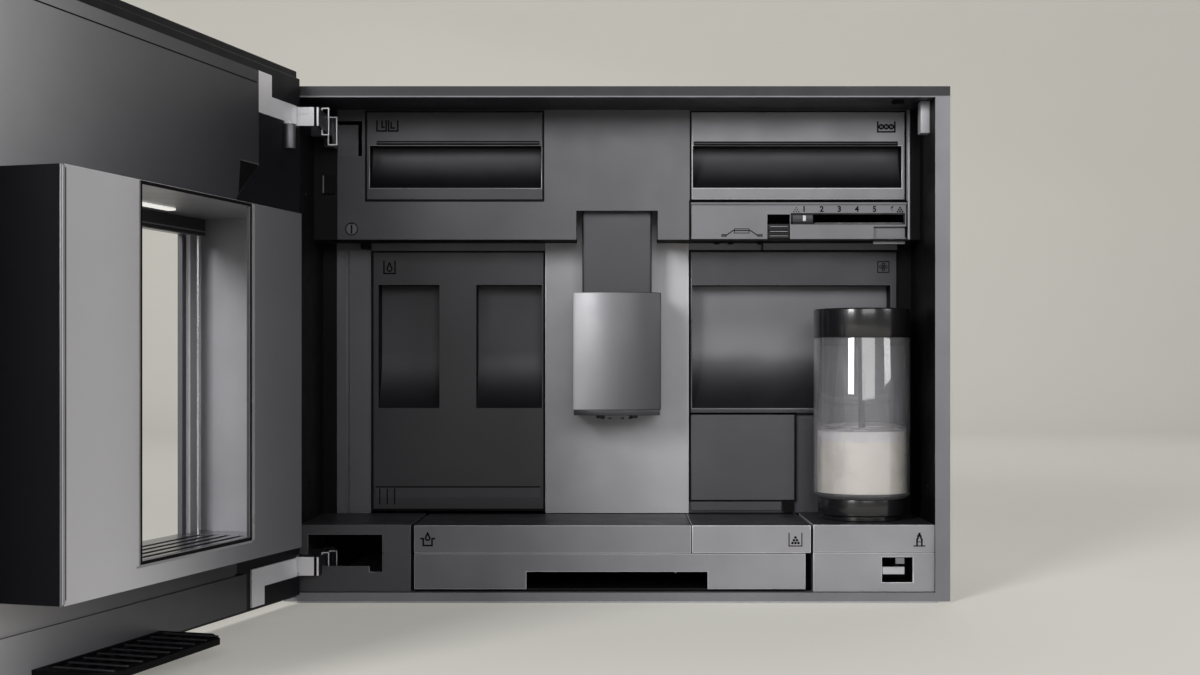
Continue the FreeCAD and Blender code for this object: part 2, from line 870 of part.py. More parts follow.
def make_housing_shell():
    """Folded sheet wrap over the top and both sides, with vents and fixing holes."""
    outside = block(
        "WrapOutside",
        ("-housing_half", "housing_half"),
        ("0", "housing_depth - sheet"),
        ("base_sheet", "housing_top"),
    )
    inside = block(
        "WrapInside",
        ("-housing_half + sheet", "housing_half - sheet"),
        ("-over", "housing_depth + over"),
        ("0", "housing_top - sheet"),
    )
    vents = []
    for index in range(int(worth("vent_count"))):
        left = f"({index} - (vent_count - 1) / 2) * vent_pitch"
        vents.append(
            block(
                "TopVent",
                (left, f"{left} + vent_width"),
                ("housing_depth - top_vent_inset - vent_length", "housing_depth - top_vent_inset"),
                ("housing_top - sheet - over", "housing_top + over"),
            )
        )
    holes = fixing_holes("WrapFixing", "-housing_half - over", "housing_half + over")
    node("housing_shell", cut("Wrap", outside, inside, *vents, *holes))


def fixing_holes(name, low, high):
    """Cross holes for the screws that hold the machine to the cabinet's sides."""
    holes = []
    for height in ("fixing_low", "fixing_high"):
        holes.append(rod(name, "X", "fixing_hole", (low, high), ("fixing_depth", height)))
    return holes


def make_rear_panel():
    """Sheet back with vents and the window of the mains inlet."""
    sheet = block(
        "RearSheet",
        ("-housing_half", "housing_half"),
        ("housing_depth - sheet", "housing_depth"),
        ("0", "housing_top"),
    )
    window = block(
        "InletWindow",
        ("-inlet_x - inlet_half_width", "-inlet_x + inlet_half_width"),
        ("housing_depth - sheet - over", "housing_depth + over"),
        ("inlet_z - inlet_half_height", "inlet_z + inlet_half_height"),
    )
    vents = []
    for index in range(int(worth("vent_count"))):
        top = f"housing_top - rear_vent_drop - {index} * vent_pitch"
        vents.append(
            block(
                "RearVent",
                ("-vent_length", "vent_length"),
                ("housing_depth - sheet - over", "housing_depth + over"),
                (f"{top} - vent_width", top),
            )
        )
    node("rear_panel", cut("RearWithVents", sheet, window, *vents))


def make_front_frame():
    """Flat flange that covers the cabinet's edges, with a folded sill at the bottom."""
    flange = block(
        "Flange",
        ("-frame_half", "frame_half"),
        ("-frame_sheet", "0"),
        ("base_sheet", "frame_height"),
    )
    opening = block(
        "FlangeOpening",
        ("-opening_half", "opening_half"),
        ("-frame_sheet - over", "over"),
        ("opening_bottom", "opening_top"),
    )
    sill = block(
        "Sill",
        ("-opening_half", "opening_half"),
        ("-frame_sheet", "sill_depth"),
        ("opening_bottom - frame_sheet", "opening_bottom"),
    )
    node("front_frame", fuse("FrameWithSill", cut("FlangeRing", flange, opening), sill))


def make_recess_liner():
    """Black lining of the recess: two side walls, ceiling and the lips beside the fascias."""
    walls = []
    for near, far in (("-opening_half - sheet", "-opening_half"), ("opening_half", "opening_half + sheet")):
        walls.append(
            block("LinerWall", (near, far), ("0", "liner_depth"), ("base_sheet", "opening_top + sheet"))
        )
    ceiling = block(
        "LinerCeiling",
        ("-opening_half", "opening_half"),
        ("0", "upper_plane + fascia_wall"),
        ("opening_top", "opening_top + sheet"),
    )
    lips = []
    upper = ("upper_plane + lip_setback", "upper_plane + fascia_wall")
    lower = ("lower_plane + lip_setback", "lower_plane + fascia_wall")
    tall = ("fascia_bottom", "opening_top")
    low = ("row_top", "fascia_bottom")
    lips.append(block("LipUpperLeft", ("-opening_half", "-fascia_left"), upper, tall))
    lips.append(block("LipUpperRight", ("fascia_right", "opening_half"), upper, tall))
    lips.append(block("LipLowerLeft", ("-opening_half", "-post_left"), lower, low))
    lips.append(block("LipLowerRight", ("brew_right + window_gap", "opening_half"), lower, low))
    ledge = ("upper_plane + lip_setback", "lower_plane + fascia_wall")
    slab = ("fascia_bottom", "fascia_bottom + ledge")
    lips.append(block("LedgeLeft", ("-opening_half", "-post_left"), ledge, slab))
    lips.append(block("LedgeRight", ("fascia_right", "opening_half"), ledge, slab))
    lining = fuse("Lining", *walls, ceiling, *lips)
    holes = fixing_holes("LinerFixing", "-housing_half", "housing_half")
    node("recess_liner", cut("LiningDrilled", lining, *holes))


def make_carrier():
    """Moulded inner carrier: walls, deck, partitions, shelves and the tank's socket."""
    side = ("liner_depth", "carrier_back")
    full = ("base_sheet", "opening_top")
    front = ("liner_depth", "carrier_back")
    pieces = [
        block("CarrierLeft", ("-opening_half - sheet", "-opening_half + carrier_wall"), side, full),
        block("CarrierRight", ("opening_half - carrier_wall", "opening_half + sheet"), side, full),
        block(
            "CarrierBack",
            ("-opening_half", "opening_half"),
            ("carrier_back - carrier_wall", "carrier_back"),
            full,
        ),
        block("Deck", ("-opening_half", "opening_half"), front, ("deck_top - carrier_wall", "deck_top")),
        block(
            "MiddleShelf",
            ("-opening_half", "-column_half + carrier_wall"),
            front,
            ("middle_shelf - carrier_wall", "middle_shelf"),
        ),
        block(
            "UpperShelf",
            ("-opening_half", "opening_half"),
            ("upper_plane + fascia_wall", "carrier_back"),
            ("upper_shelf - carrier_wall", "upper_shelf"),
        ),
    ]
    for near, far in (
        ("-column_half", "-column_half + carrier_wall"),
        ("column_half - carrier_wall", "column_half"),
    ):
        pieces.append(block("Partition", (near, far), front, ("deck_top - carrier_wall", "opening_top")))
    at = ("-valve_x", "valve_z")
    ring = rod("SocketRing", "Y", "socket_radius", ("tank_back + socket_gap", "carrier_back - carrier_wall"), at)
    seat = ("tank_back", "tank_back + valve_length + valve_seat")
    eye = rod("SocketEye", "Y", "valve_radius + slide_gap", seat, at)
    pieces.append(cut("Socket", ring, eye))
    body = fuse("CarrierBody", *pieces)
    bean_hole = rod(
        "ShelfBeanHole",
        "Z",
        "bean_hole + bin_wall",
        ("upper_shelf - carrier_wall - over", "upper_shelf + over"),
        ("grinder_x", "grinder_y"),
    )
    chute_hole = rod(
        "DeckChuteHole",
        "Z",
        "chamber_bore",
        ("deck_top - carrier_wall - over", "deck_top + over"),
        ("unit_x", "grinder_y"),
    )
    neck_slot = block(
        "NeckSlot",
        ("-notch_half", "notch_half"),
        ("upper_plane", "lower_plane + fascia_wall"),
        ("upper_shelf - carrier_wall - over", "upper_shelf + over"),
    )
    node("inner_carrier", cut("Carrier", body, bean_hole, chute_hole, neck_slot))


# ---------------------------------------------------------------- fixed fronts


def make_upper_fascia():
    """Upper fascia: outlet notch, windows of the drawers and panel, ledge and strips below it."""
    points = [
        ("-fascia_left", "fascia_bottom"),
        ("-notch_half", "fascia_bottom"),
        ("-notch_half", "notch_top"),
        ("notch_half", "notch_top"),
        ("notch_half", "fascia_bottom"),
        ("fascia_right", "fascia_bottom"),
        ("fascia_right", "opening_top"),
        ("-fascia_left", "opening_top"),
    ]
    back = "upper_plane + fascia_wall"
    plate = outline("FasciaPlate", "XZ_Plane", points, "upper_plane", back)
    through = ("upper_plane - over", f"{back} + over")
    tall = ("drawer_low - window_gap", "drawer_high + window_gap")
    windows = [
        block("StorageWindow", ("-storage_left - window_gap", "-storage_right + window_gap"), through, tall),
        block("BeanWindow", ("bean_left - window_gap", "bean_right + window_gap"), through, tall),
        block(
            "SettingWindow",
            ("panel_left", "panel_right"),
            through,
            ("fascia_bottom - over", "panel_high"),
        ),
        block(
            "HingeWindow",
            ("-fascia_left - over", "-fascia_left + hinge_window"),
            through,
            ("hinge_high - 2 * arm_height", "hinge_high"),
        ),
        rod("ScrewHole", "Y", "screw_radius + shaft_gap", through, ("-screw_x", "screw_z")),
    ]
    ledge = block(
        "Ledge",
        ("-post_left", "fascia_right"),
        (back, "lower_plane + fascia_wall"),
        ("fascia_bottom", "fascia_bottom + ledge"),
    )
    passage = block(
        "LedgePassage",
        ("-notch_half", "notch_half"),
        ("upper_plane", "lower_plane + fascia_wall + over"),
        ("fascia_bottom - over", "fascia_bottom + ledge + over"),
    )
    latch_relief = block(
        "LedgeLatchRelief",
        ("latch_left", "latch_right"),
        ("upper_plane", "upper_plane + latch_depth + over"),
        ("fascia_bottom - over", "fascia_bottom + ledge + over"),
    )
    under = cut("LedgeCut", ledge, passage, latch_relief)
    deep = ("lower_plane", "lower_plane + fascia_wall")
    hanging = ("under_strip", "fascia_bottom")
    strips = [
        block("StripLeft", ("-post_left", "-column_half"), deep, hanging),
        block("StripRight", ("column_half", "brew_right + window_gap"), deep, hanging),
    ]
    face = cut("FasciaWindows", plate, *windows)
    node("upper_fascia", fuse("FasciaAndLedge", face, under, *strips))


def make_centre_column():
    """Column behind the coffee outlet, with returns to the partitions."""
    sides = ("-column_half", "column_half")
    face = block("ColumnFace", sides, ("lower_plane", "liner_depth"), ("row_top", "opening_top"))
    inside = block(
        "ColumnInside",
        ("-column_half + carrier_wall", "column_half - carrier_wall"),
        ("lower_plane + cover_wall", "liner_depth + over"),
        ("row_top - over", "opening_top + over"),
    )
    shell = cut("ColumnShell", face, inside)
    relief = block(
        "LedgeRelief",
        ("-column_half - over", "column_half + over"),
        ("lower_plane - over", "lower_plane + fascia_wall"),
        ("fascia_bottom", "fascia_bottom + ledge"),
    )
    keep = block(
        "ReliefKeep",
        ("-notch_half", "notch_half"),
        ("lower_plane - 2 * over", "lower_plane + fascia_wall + over"),
        ("fascia_bottom - over", "fascia_bottom + ledge + over"),
    )
    shelf_slot = block(
        "ShelfRelief",
        ("-column_half - over", "column_half + over"),
        ("lower_plane - over", "liner_depth + over"),
        ("upper_shelf - carrier_wall", "upper_shelf"),
    )
    slots = fuse("ColumnReliefs", cut("LedgeSlot", relief, keep), cut("ShelfSlot", shelf_slot, block(
        "ShelfKeep",
        ("-notch_half", "notch_half"),
        ("lower_plane - 2 * over", "lower_plane + fascia_wall"),
        ("upper_shelf - carrier_wall - over", "upper_shelf + over"),
    )))
    node("centre_column", cut("Column", shell, slots))


def make_left_post():
    """Stepped post between the recess wall and the water tank."""
    tall = ("row_top", "under_strip")
    deep = ("lower_plane", "lower_plane + fascia_wall")
    plate = block("PostPlate", ("-post_left", "-post_right"), deep, tall)
    groove = block(
        "PostGroove",
        ("-post_left + post_groove_inset", "-post_left + post_groove_inset + post_groove_width"),
        ("lower_plane - over", "lower_plane + post_groove_depth"),
        ("row_top - over", "under_strip + over"),
    )
    node("left_post", cut("Post", plate, groove))


def make_lower_right_panel():
    """Backing panel under the brew cover, and the small removable chute cover on it."""
    panel = block(
        "LowerRightSheet",
        ("column_half", "opening_half"),
        ("lower_plane + fascia_wall", "liner_depth"),
        ("row_top", "brew_low"),
    )
    strip = block(
        "ServiceStrip",
        ("brew_left", "chute_right - service_inset"),
        ("lower_plane", "lower_plane + fascia_wall"),
        ("row_top + service_rise", "chute_low - service_gap"),
    )
    node("lower_right_panel", fuse("PanelAndStrip", panel, strip))
    cover = block(
        "ChuteCoverPlate",
        ("brew_left", "chute_right"),
        ("lower_plane", "lower_plane + fascia_wall"),
        ("chute_low", "chute_high"),
    )
    node("chute_cover", rounded("ChuteCover", cover, "cover_edge", "Z"))


def make_corner_cover():
    """Lower left housing around the lower hinge's pocket."""
    outside = block(
        "CornerOutside",
        ("-opening_half", "-corner_right"),
        ("row_front", "lower_plane"),
        ("row_bottom", "row_top"),
    )
    inside = block(
        "CornerInside",
        ("-opening_half + bay_wall", "-corner_right - bay_wall"),
        ("row_front + bay_wall", "lower_plane + over"),
        ("row_bottom - over", "row_top - bay_wall"),
    )
    pocket = block(
        "CornerPocket",
        ("-pocket_left", "-pocket_right"),
        ("row_front - over", "row_front + bay_wall + over"),
        ("pocket_low", "pocket_high"),
    )
    step = block(
        "CornerPocketStep",
        ("-pocket_right - pocket_step", "-pocket_right"),
        ("row_front - over", "row_front + bay_wall + over"),
        ("pocket_low - pocket_step_drop", "pocket_low + over"),
    )
    arm_relief = block(
        "CornerArmRelief",
        ("-opening_half - over", "-arm_right + arm_relief"),
        ("row_front - over", "row_front + bay_wall + over"),
        ("hinge_low - arm_height - arm_relief_side", "hinge_low + arm_relief_side"),
    )
    seam = block(
        "CornerSeam",
        ("-opening_half - over", "-corner_right + over"),
        ("row_front - over", "row_front + corner_seam_depth"),
        ("row_seam - corner_seam_height", "row_seam"),
    )
    foot = block(
        "CornerFoot",
        ("-corner_right - bay_wall", "-corner_right"),
        ("sill_depth + tray_clear", "lower_plane"),
        ("base_sheet", "row_bottom"),
    )
    body = cut("CornerShell", outside, inside, pocket, step, arm_relief, seam)
    node("corner_cover", fuse("CornerOnFoot", body, foot))


def make_milk_bay():
    """Housing that carries the milk container, and the milk port in its front."""
    outside = block(
        "BayOutside",
        ("bay_left", "opening_half"),
        ("row_front", "lower_plane"),
        ("row_bottom", "row_top"),
    )
    inside = block(
        "BayInside",
        ("bay_left + bay_wall", "opening_half - bay_wall"),
        ("row_front + bay_wall", "lower_plane + over"),
        ("row_bottom - over", "row_top - bay_wall"),
    )
    seam = block(
        "BaySeam",
        ("bay_left - over", "opening_half + over"),
        ("row_front - over", "row_front + bay_seam_depth"),
        ("row_seam", "row_seam + bay_seam_height"),
    )
    window = block(
        "PortWindow",
        ("port_left", "port_right"),
        ("row_front - over", "row_front + bay_wall + over"),
        ("port_low", "port_high"),
    )
    foot = block(
        "BayFoot",
        ("bay_left", "bay_left + bay_wall"),
        ("sill_depth + tray_clear", "lower_plane"),
        ("base_sheet", "row_bottom"),
    )
    body = cut("BayShell", outside, inside, seam, window)
    node("milk_bay_housing", fuse("BayOnFoot", body, foot))
    port = block(
        "PortBody",
        ("port_left - port_wall", "port_right + port_wall"),
        ("row_front + bay_wall", "row_front + bay_wall + port_body_depth"),
        ("port_low - port_wall", "port_high + port_wall"),
    )
    cavity = block(
        "PortCavity",
        ("port_left", "port_right"),
        ("row_front", "row_front + bay_wall + port_body_depth - port_wall"),
        ("port_low", "port_high"),
    )
    pin = rod(
        "PortPin",
        "Y",
        "port_pin_radius",
        ("row_front + bay_wall + port_pin_setback", "row_front + bay_wall + port_body_depth"),
        ("(port_left + port_right) / 2", "(port_low + port_high) / 2"),
    )
    node("milk_port", fuse("PortWithPin", cut("PortShell", port, cavity), pin))


def make_setting_panel():
    """Grind setting panel with its track, latch window and cut-off corner."""
    points = [
        ("panel_left + window_gap", "panel_low"),
        ("latch_left", "panel_low"),
        ("latch_left", "track_high"),
        ("latch_right", "track_high"),
        ("latch_right", "panel_low"),
        ("step_left", "panel_low"),
        ("step_left", "step_high"),
        ("panel_right - window_gap", "step_high"),
        ("panel_right - window_gap", "panel_high - window_gap"),
        ("panel_left + window_gap", "panel_high - window_gap"),
    ]
    back = "upper_plane + fascia_wall"
    plate = outline("SettingPlate", "XZ_Plane", points, "upper_plane", back)
    track = block(
        "SettingTrack",
        ("track_left", "track_right"),
        ("upper_plane - over", f"{back} + over"),
        ("track_low", "track_high"),
    )
    backing = block(
        "SettingBacking",
        ("panel_left", "panel_right"),
        (back, f"{back} + carrier_wall"),
        ("panel_low + latch_height + latch_travel_room", "upper_shelf - carrier_wall"),
    )
    opening = block(
        "SettingBackingSlot",
        ("latch_left - knob_edge", "track_right + knob_edge"),
        ("upper_plane", f"{back} + carrier_wall + over"),
        ("track_low - carrier_wall", "track_high + knob_edge"),
    )
    node("setting_panel", fuse("SettingJoined", cut("SettingSlotted", plate, track), cut(
        "SettingBackCut", backing, opening)))


def make_grind_slider():
    """Slider of the grind setting: a knob in the track and its lever behind the panel."""
    left = "track_left + knob_gap"
    behind = "upper_plane + fascia_wall"
    knob = block(
        "SliderKnob",
        (left, f"{left} + knob_width"),
        ("upper_plane - knob_proud", f"{behind} + lever_setback"),
        ("track_low + knob_gap", "track_high - knob_gap"),
    )
    lever = block(
        "SliderLever",
        (f"{left} + lever_inset", f"{left} + knob_width - lever_inset"),
        (f"{behind} + lever_setback", f"{behind} + lever_setback + lever_length"),
        ("track_low + lever_margin", "track_high - lever_margin"),
    )
    node("grind_slider", fuse("SliderJoined", rounded("KnobRounded", knob, "knob_edge", "Z"), lever))


def make_thumb_latch():
    """Thumb latch that rides up and down in its window of the setting panel."""
    face = block(
        "LatchFace",
        ("latch_left + latch_gap", "latch_right - latch_gap"),
        ("upper_plane - latch_proud", "upper_plane + latch_depth"),
        ("panel_low + latch_gap", "panel_low + latch_height"),
    )
    groove = block(
        "LatchGroove",
        ("latch_left - over", "latch_right + over"),
        ("upper_plane - latch_proud - over", "upper_plane + latch_proud"),
        ("panel_low + latch_groove", "panel_low + 2 * latch_groove"),
    )
    node("thumb_latch", cut("Latch", face, groove))


def make_cover_screw():
    """Quarter-turn screw that locks the upper fascia."""
    head = rod(
        "ScrewHead",
        "Y",
        "screw_radius",
        ("upper_plane - screw_proud", "upper_plane + fascia_wall"),
        ("-screw_x", "screw_z"),
    )
    shank = rod(
        "ScrewShank",
        "Y",
        "screw_shank",
        ("upper_plane + fascia_wall", "upper_plane + fascia_wall + screw_length"),
        ("-screw_x", "screw_z"),
    )
    slot = block(
        "ScrewSlot",
        ("-screw_x - screw_slot_half", "-screw_x + screw_slot_half"),
        ("upper_plane - screw_proud - over", "upper_plane + screw_slot_depth"),
        ("screw_z - screw_radius", "screw_z + screw_radius"),
    )
    node("cover_screw", cut("Screw", fuse("ScrewBody", head, shank), slot))


# ---------------------------------------------------------------- drawers


def make_storage_drawer():
    """Left drawer: a gripped front and the storage bin behind it."""
    x = ("-storage_left", "-storage_right")
    z = ("drawer_low", "drawer_high")
    inner = ("-storage_left + cup_side + grip_margin", "-storage_right - cup_side")
    tall = ("grip_low", "grip_high")
    cup = grip_cup("StorageGrip", inner, tall, "upper_plane", "grip_depth", "grip_scoop")
    node("storage_drawer_front", front_cover("StorageFront", x, z, "upper_plane", [cup]))
    tray = open_bin(
        "Storage",
        ("-storage_left + bin_inset", "-storage_right - bin_inset"),
        ("upper_plane + cover_depth", "storage_back"),
        ("upper_shelf + tray_clear", "storage_bin_high"),
        "bin_wall",
    )
    node("storage_bin", tray)


def make_bean_drawer():
    """Right drawer: a gripped front, the bean hopper with its outlet hole, and a lid."""
    x = ("bean_left", "bean_right")
    z = ("drawer_low", "drawer_high")
    inner = ("bean_left + cup_side", "bean_right - cup_side - grip_margin")
    tall = ("grip_low", "grip_high")
    cup = grip_cup("BeanGrip", inner, tall, "upper_plane", "grip_depth", "grip_scoop")
    node("bean_drawer_front", front_cover("BeanFront", x, z, "upper_plane", [cup]))
    walls = ("bean_left + bin_inset", "bean_right - bin_inset")
    deep = ("upper_plane + cover_depth", "bean_back")
    floor = "upper_shelf + tray_clear"
    hopper = open_bin("Hopper", walls, deep, (floor, "hopper_high"), "bin_wall")
    through = (f"{floor} - over", f"{floor} + bin_wall + over")
    outlet = rod("HopperOutlet", "Z", "bean_hole", through, ("grinder_x", "grinder_y"))
    node("bean_hopper", cut("HopperDrilled", hopper, outlet))
    lid = block("HopperLidPlate", walls, deep, ("hopper_high", "hopper_high + lid_sheet"))
    node("bean_lid", rounded("HopperLid", lid, "lid_edge", "Z"))


def make_grinder():
    """Grinder below the hopper: housing with the fixed ring burr, turning cone burr, motor."""
    at = ("grinder_x", "grinder_y")
    inner = ("grinder_floor + floor_sheet", "grinder_top + over")
    outside = rod("GrinderOutside", "Z", "grinder_radius", ("grinder_floor", "grinder_top"), at)
    inside = rod("GrinderInside", "Z", "grinder_bore", inner, at)
    bore = rod("GrinderBore", "Z", "shaft_radius + shaft_gap", ("grinder_floor - over", inner[0]), at)
    ring = rod("RingOutside", "Z", "grinder_bore", ("ring_low", "burr_high"), at)
    eye = rod("RingEye", "Z", "burr_radius + burr_gap", ("ring_low - over", "burr_high + over"), at)
    ring_burr = cut("RingBurr", ring, eye)
    cup = cut("GrinderCup", outside, fuse("GrinderHollow", inside, bore))
    node("grinder_housing", fuse("GrinderBody", cup, ring_burr))
    points = [
        ("0", "grinder_floor - motor_bore_depth + burr_gap"),
        ("shaft_radius", "grinder_floor - motor_bore_depth + burr_gap"),
        ("shaft_radius", "grinder_floor + floor_sheet + burr_gap"),
        ("burr_radius", "grinder_floor + floor_sheet + burr_gap"),
        ("burr_radius", "grinder_floor + floor_sheet + burr_rim"),
        ("burr_radius / 2", "burr_high"),
        ("0", "burr_high"),
    ]
    node("cone_burr", turned("ConeBurr", points, *at))
    low = "grinder_floor - motor_length"
    motor = rod("MotorCan", "Z", "motor_radius", (low, "grinder_floor"), at)
    socket = rod(
        "MotorSocket",
        "Z",
        "shaft_radius + shaft_gap",
        ("grinder_floor - motor_bore_depth", "grinder_floor + over"),
        at,
    )
    node("grinder_motor", cut("Motor", motor, socket))


# ---------------------------------------------------------------- brew unit


def make_brew_cover():
    """Large lift-off cover of the brew unit with its wide finger grip."""
    x = ("brew_left", "brew_right")
    z = ("brew_low", "brew_high")
    inner = ("brew_left + cup_side", "brew_grip_right")
    tall = ("brew_grip_low", "brew_grip_high")
    shape = ("lower_plane", "tank_grip_depth", "tank_grip_scoop")
    cup = grip_cup("BrewGrip", inner, tall, *shape)
    node("brew_cover", front_cover("BrewFront", x, z, "lower_plane", [cup]))


def make_brew_unit():
    """Brew unit: stand with the bored chamber and the drive on top, and the piston on its rod."""
    x = ("unit_x - unit_half", "unit_x + unit_half")
    y = ("unit_y - chamber_depth", "unit_y + chamber_depth")
    outside = block("StandOutside", x, y, ("deck_top", "unit_top"))
    inner = ("unit_x - unit_half + unit_side", "unit_x + unit_half - unit_side")
    open_y = ("unit_y - chamber_depth - over", "unit_y + chamber_depth + over")
    lower = block("StandLowerBay", inner, open_y, ("deck_top + unit_side", "chamber_low"))
    upper = block("StandUpperBay", inner, open_y, ("chamber_high", "unit_top - unit_side"))
    at = ("unit_x", "unit_y")
    bore = rod("ChamberBore", "Z", "chamber_bore", ("chamber_low - over", "chamber_high + over"), at)
    through = ("unit_top - unit_side - over", "unit_top + over")
    guide = rod("RodGuide", "Z", "rod_radius + shaft_gap", through, at)
    can = rod("DriveCan", "Z", "drive_radius", ("unit_top", "drive_top"), at)
    hole = rod("DriveBore", "Z", "rod_radius + shaft_gap", ("unit_top", "drive_top - drive_cap"), at)
    stand = cut("Stand", outside, lower, upper, bore)
    node("brew_unit_stand", cut("StandBored", fuse("StandWithDrive", stand, can), guide, hole))
    start = "chamber_high + piston_clear"
    head = rod("PistonHead", "Z", "chamber_bore - piston_gap", (start, f"{start} + piston_height"), at)
    stem = rod("PistonRod", "Z", "rod_radius", (f"{start} + piston_height", "rod_top"), at)
    node("brew_piston", fuse("Piston", head, stem))


# ---------------------------------------------------------------- water side


def make_water_tank():
    """Water tank: gripped front, clear body with the valve at its back, and lid."""
    x = ("-tank_left", "-tank_right")
    z = ("tank_low", "tank_high")
    grips = (
        ("LeftTankGrip", ("-left_grip_left", "-left_grip_right")),
        ("RightTankGrip", ("-right_grip_left", "-right_grip_right")),
    )
    tall = ("tank_grip_low", "tank_grip_high")
    shape = ("lower_plane", "tank_grip_depth", "tank_grip_scoop")
    cups = [grip_cup(name, span, tall, *shape) for name, span in grips]
    node("water_tank_front", front_cover("TankFront", x, z, "lower_plane", cups))
    walls = ("-tank_left + tank_body_inset", "-tank_right - tank_body_inset")
    deep = ("lower_plane + cover_depth", "tank_back")
    floor = "deck_top + tray_clear"
    at = ("-valve_x", "valve_z")
    body = open_bin("Tank", walls, deep, (floor, "tank_body_high"), "bin_wall")
    plug = rod("ValvePlug", "Y", "valve_radius", ("tank_back", "tank_back + valve_length"), at)
    node("water_tank_body", fuse("TankWithValve", body, plug))
    lid = block("TankLidPlate", walls, deep, ("tank_body_high", "tank_body_high + lid_sheet"))
    filler = rod(
        "TankFiller",
        "Z",
        "filler_radius",
        ("tank_body_high - over", "tank_body_high + lid_sheet + over"),
        ("-(tank_left + tank_right) / 2", "(lower_plane + tank_back) / 2"),
    )
    node("water_tank_lid", cut("TankLid", lid, filler))


def make_pump():
    """Water pump lying on two saddles on the deck."""
    nose_radius = "hose_radius + pump_nose_wall"
    barrel = rod("PumpBarrel", "Y", "pump_radius", ("pump_front", "pump_back"), ("0", "pump_z"))
    nose = rod("PumpNose", "Y", nose_radius, ("pump_front - pump_nose", "pump_front"), ("0", "pump_z"))
    saddles = []
    wide = ("-pump_radius", "pump_radius")
    for start in ("pump_front + saddle_length", "pump_back - 2 * saddle_length"):
        long = (start, f"{start} + saddle_length")
        saddles.append(block("Saddle", wide, long, ("deck_top", "pump_z")))
    node("water_pump", fuse("Pump", barrel, nose, *saddles))


def make_heater():
    """Flat heater block on the middle shelf, above the tank."""
    slab = block(
        "HeaterSlab",
        ("-heater_left", "-heater_right"),
        ("heater_front", "heater_back"),
        ("middle_shelf", "heater_high"),
    )
    node("heater_block", rounded("Heater", slab, "heater_edge", "Z"))


def make_valve_block():
    """Valve block on the right partition, between pump and brew unit."""
    slab = block(
        "ValveSlab",
        ("valve_block_left", "column_half - carrier_wall"),
        ("valve_block_front", "valve_block_back"),
        ("valve_block_low", "valve_block_high"),
    )
    stub = rod(
        "ValveStub",
        "Y",
        "hose_radius + stub_wall",
        ("valve_block_back", "stub_end"),
        ("stub_x", "stub_z"),
    )
    node("valve_block", fuse("ValveBody", slab, stub))


def make_pressure_hose():
    """Hose from the pump's rear to the valve block: straight runs joined by tangent arcs."""
    start = FreeCAD.Vector(0, worth("pump_back"), worth("pump_z"))
    mouth = FreeCAD.Vector(worth("stub_x"), worth("stub_end"), worth("stub_z"))
    back = worth("hose_back")
    corners = [
        start,
        FreeCAD.Vector(0, back, worth("pump_z")),
        FreeCAD.Vector(mouth.x, back, mouth.z),
        mouth,
    ]
    path = Part.Wire(rounded_route(corners, worth("hose_bend")))
    circle = Part.Wire([Part.makeCircle(worth("hose_radius"), start, FreeCAD.Vector(0, 1, 0))])
    hose = DOC.addObject("Part::Feature", "PressureHose")
    hose.Shape = path.makePipeShell([circle], True, False)
    node("pressure_hose", hose)


def rounded_route(corners, radius):
    """Line and arc edges along a route, with the same radius at each corner."""
    edges = []
    here = corners[0]
    for before, corner, after in zip(corners, corners[1:], corners[2:]):
        arriving = (corner - before).normalize()
        leaving = (after - corner).normalize()
        half_turn = arriving.getAngle(leaving) / 2
        setback = radius * math.tan(half_turn)
        start = corner - arriving * setback
        end = corner + leaving * setback
        inward = (leaving - arriving).normalize()
        reach = radius / math.cos(half_turn) - radius
        middle = corner + inward * reach
        edges.append(Part.LineSegment(here, start).toShape())
        edges.append(Part.Arc(start, middle, end).toShape())
        here = end
    edges.append(Part.LineSegment(here, corners[-1]).toShape())
    return edges


def make_mains_inlet():
    """Mains inlet in the rear panel: a flanged socket with its contact blades."""
    x = ("-inlet_x - inlet_half_width", "-inlet_x + inlet_half_width")
    z = ("inlet_z - inlet_half_height", "inlet_z + inlet_half_height")
    body = block("InletBody", x, ("housing_depth - inlet_depth", "housing_depth"), z)
    flange = block(
        "InletFlange",
        (f"{x[0]} - inlet_flange", f"{x[1]} + inlet_flange"),
        ("housing_depth", "housing_depth + inlet_sheet"),
        (f"{z[0]} - inlet_flange", f"{z[1]} + inlet_flange"),
    )
    cavity = block(
        "InletCavity",
        (f"{x[0]} + inlet_wall", f"{x[1]} - inlet_wall"),
        ("housing_depth - inlet_depth + inlet_wall", "housing_depth + inlet_sheet + over"),
        (f"{z[0]} + inlet_wall", f"{z[1]} - inlet_wall"),
    )
    shell = cut("InletShell", fuse("InletSolid", body, flange), cavity)
    blades = []
    deep = ("housing_depth - inlet_depth", "housing_depth - inlet_wall")
    tall = ("inlet_z - blade_half_height", "inlet_z + blade_half_height")
    for middle in ("-inlet_x - blade_pitch", "-inlet_x", "-inlet_x + blade_pitch"):
        wide = (f"{middle} - blade_half_width", f"{middle} + blade_half_width")
        blades.append(block("Blade", wide, deep, tall))
    node("mains_inlet", fuse("InletWithBlades", shell, *blades))


# ---------------------------------------------------------------- coffee outlet


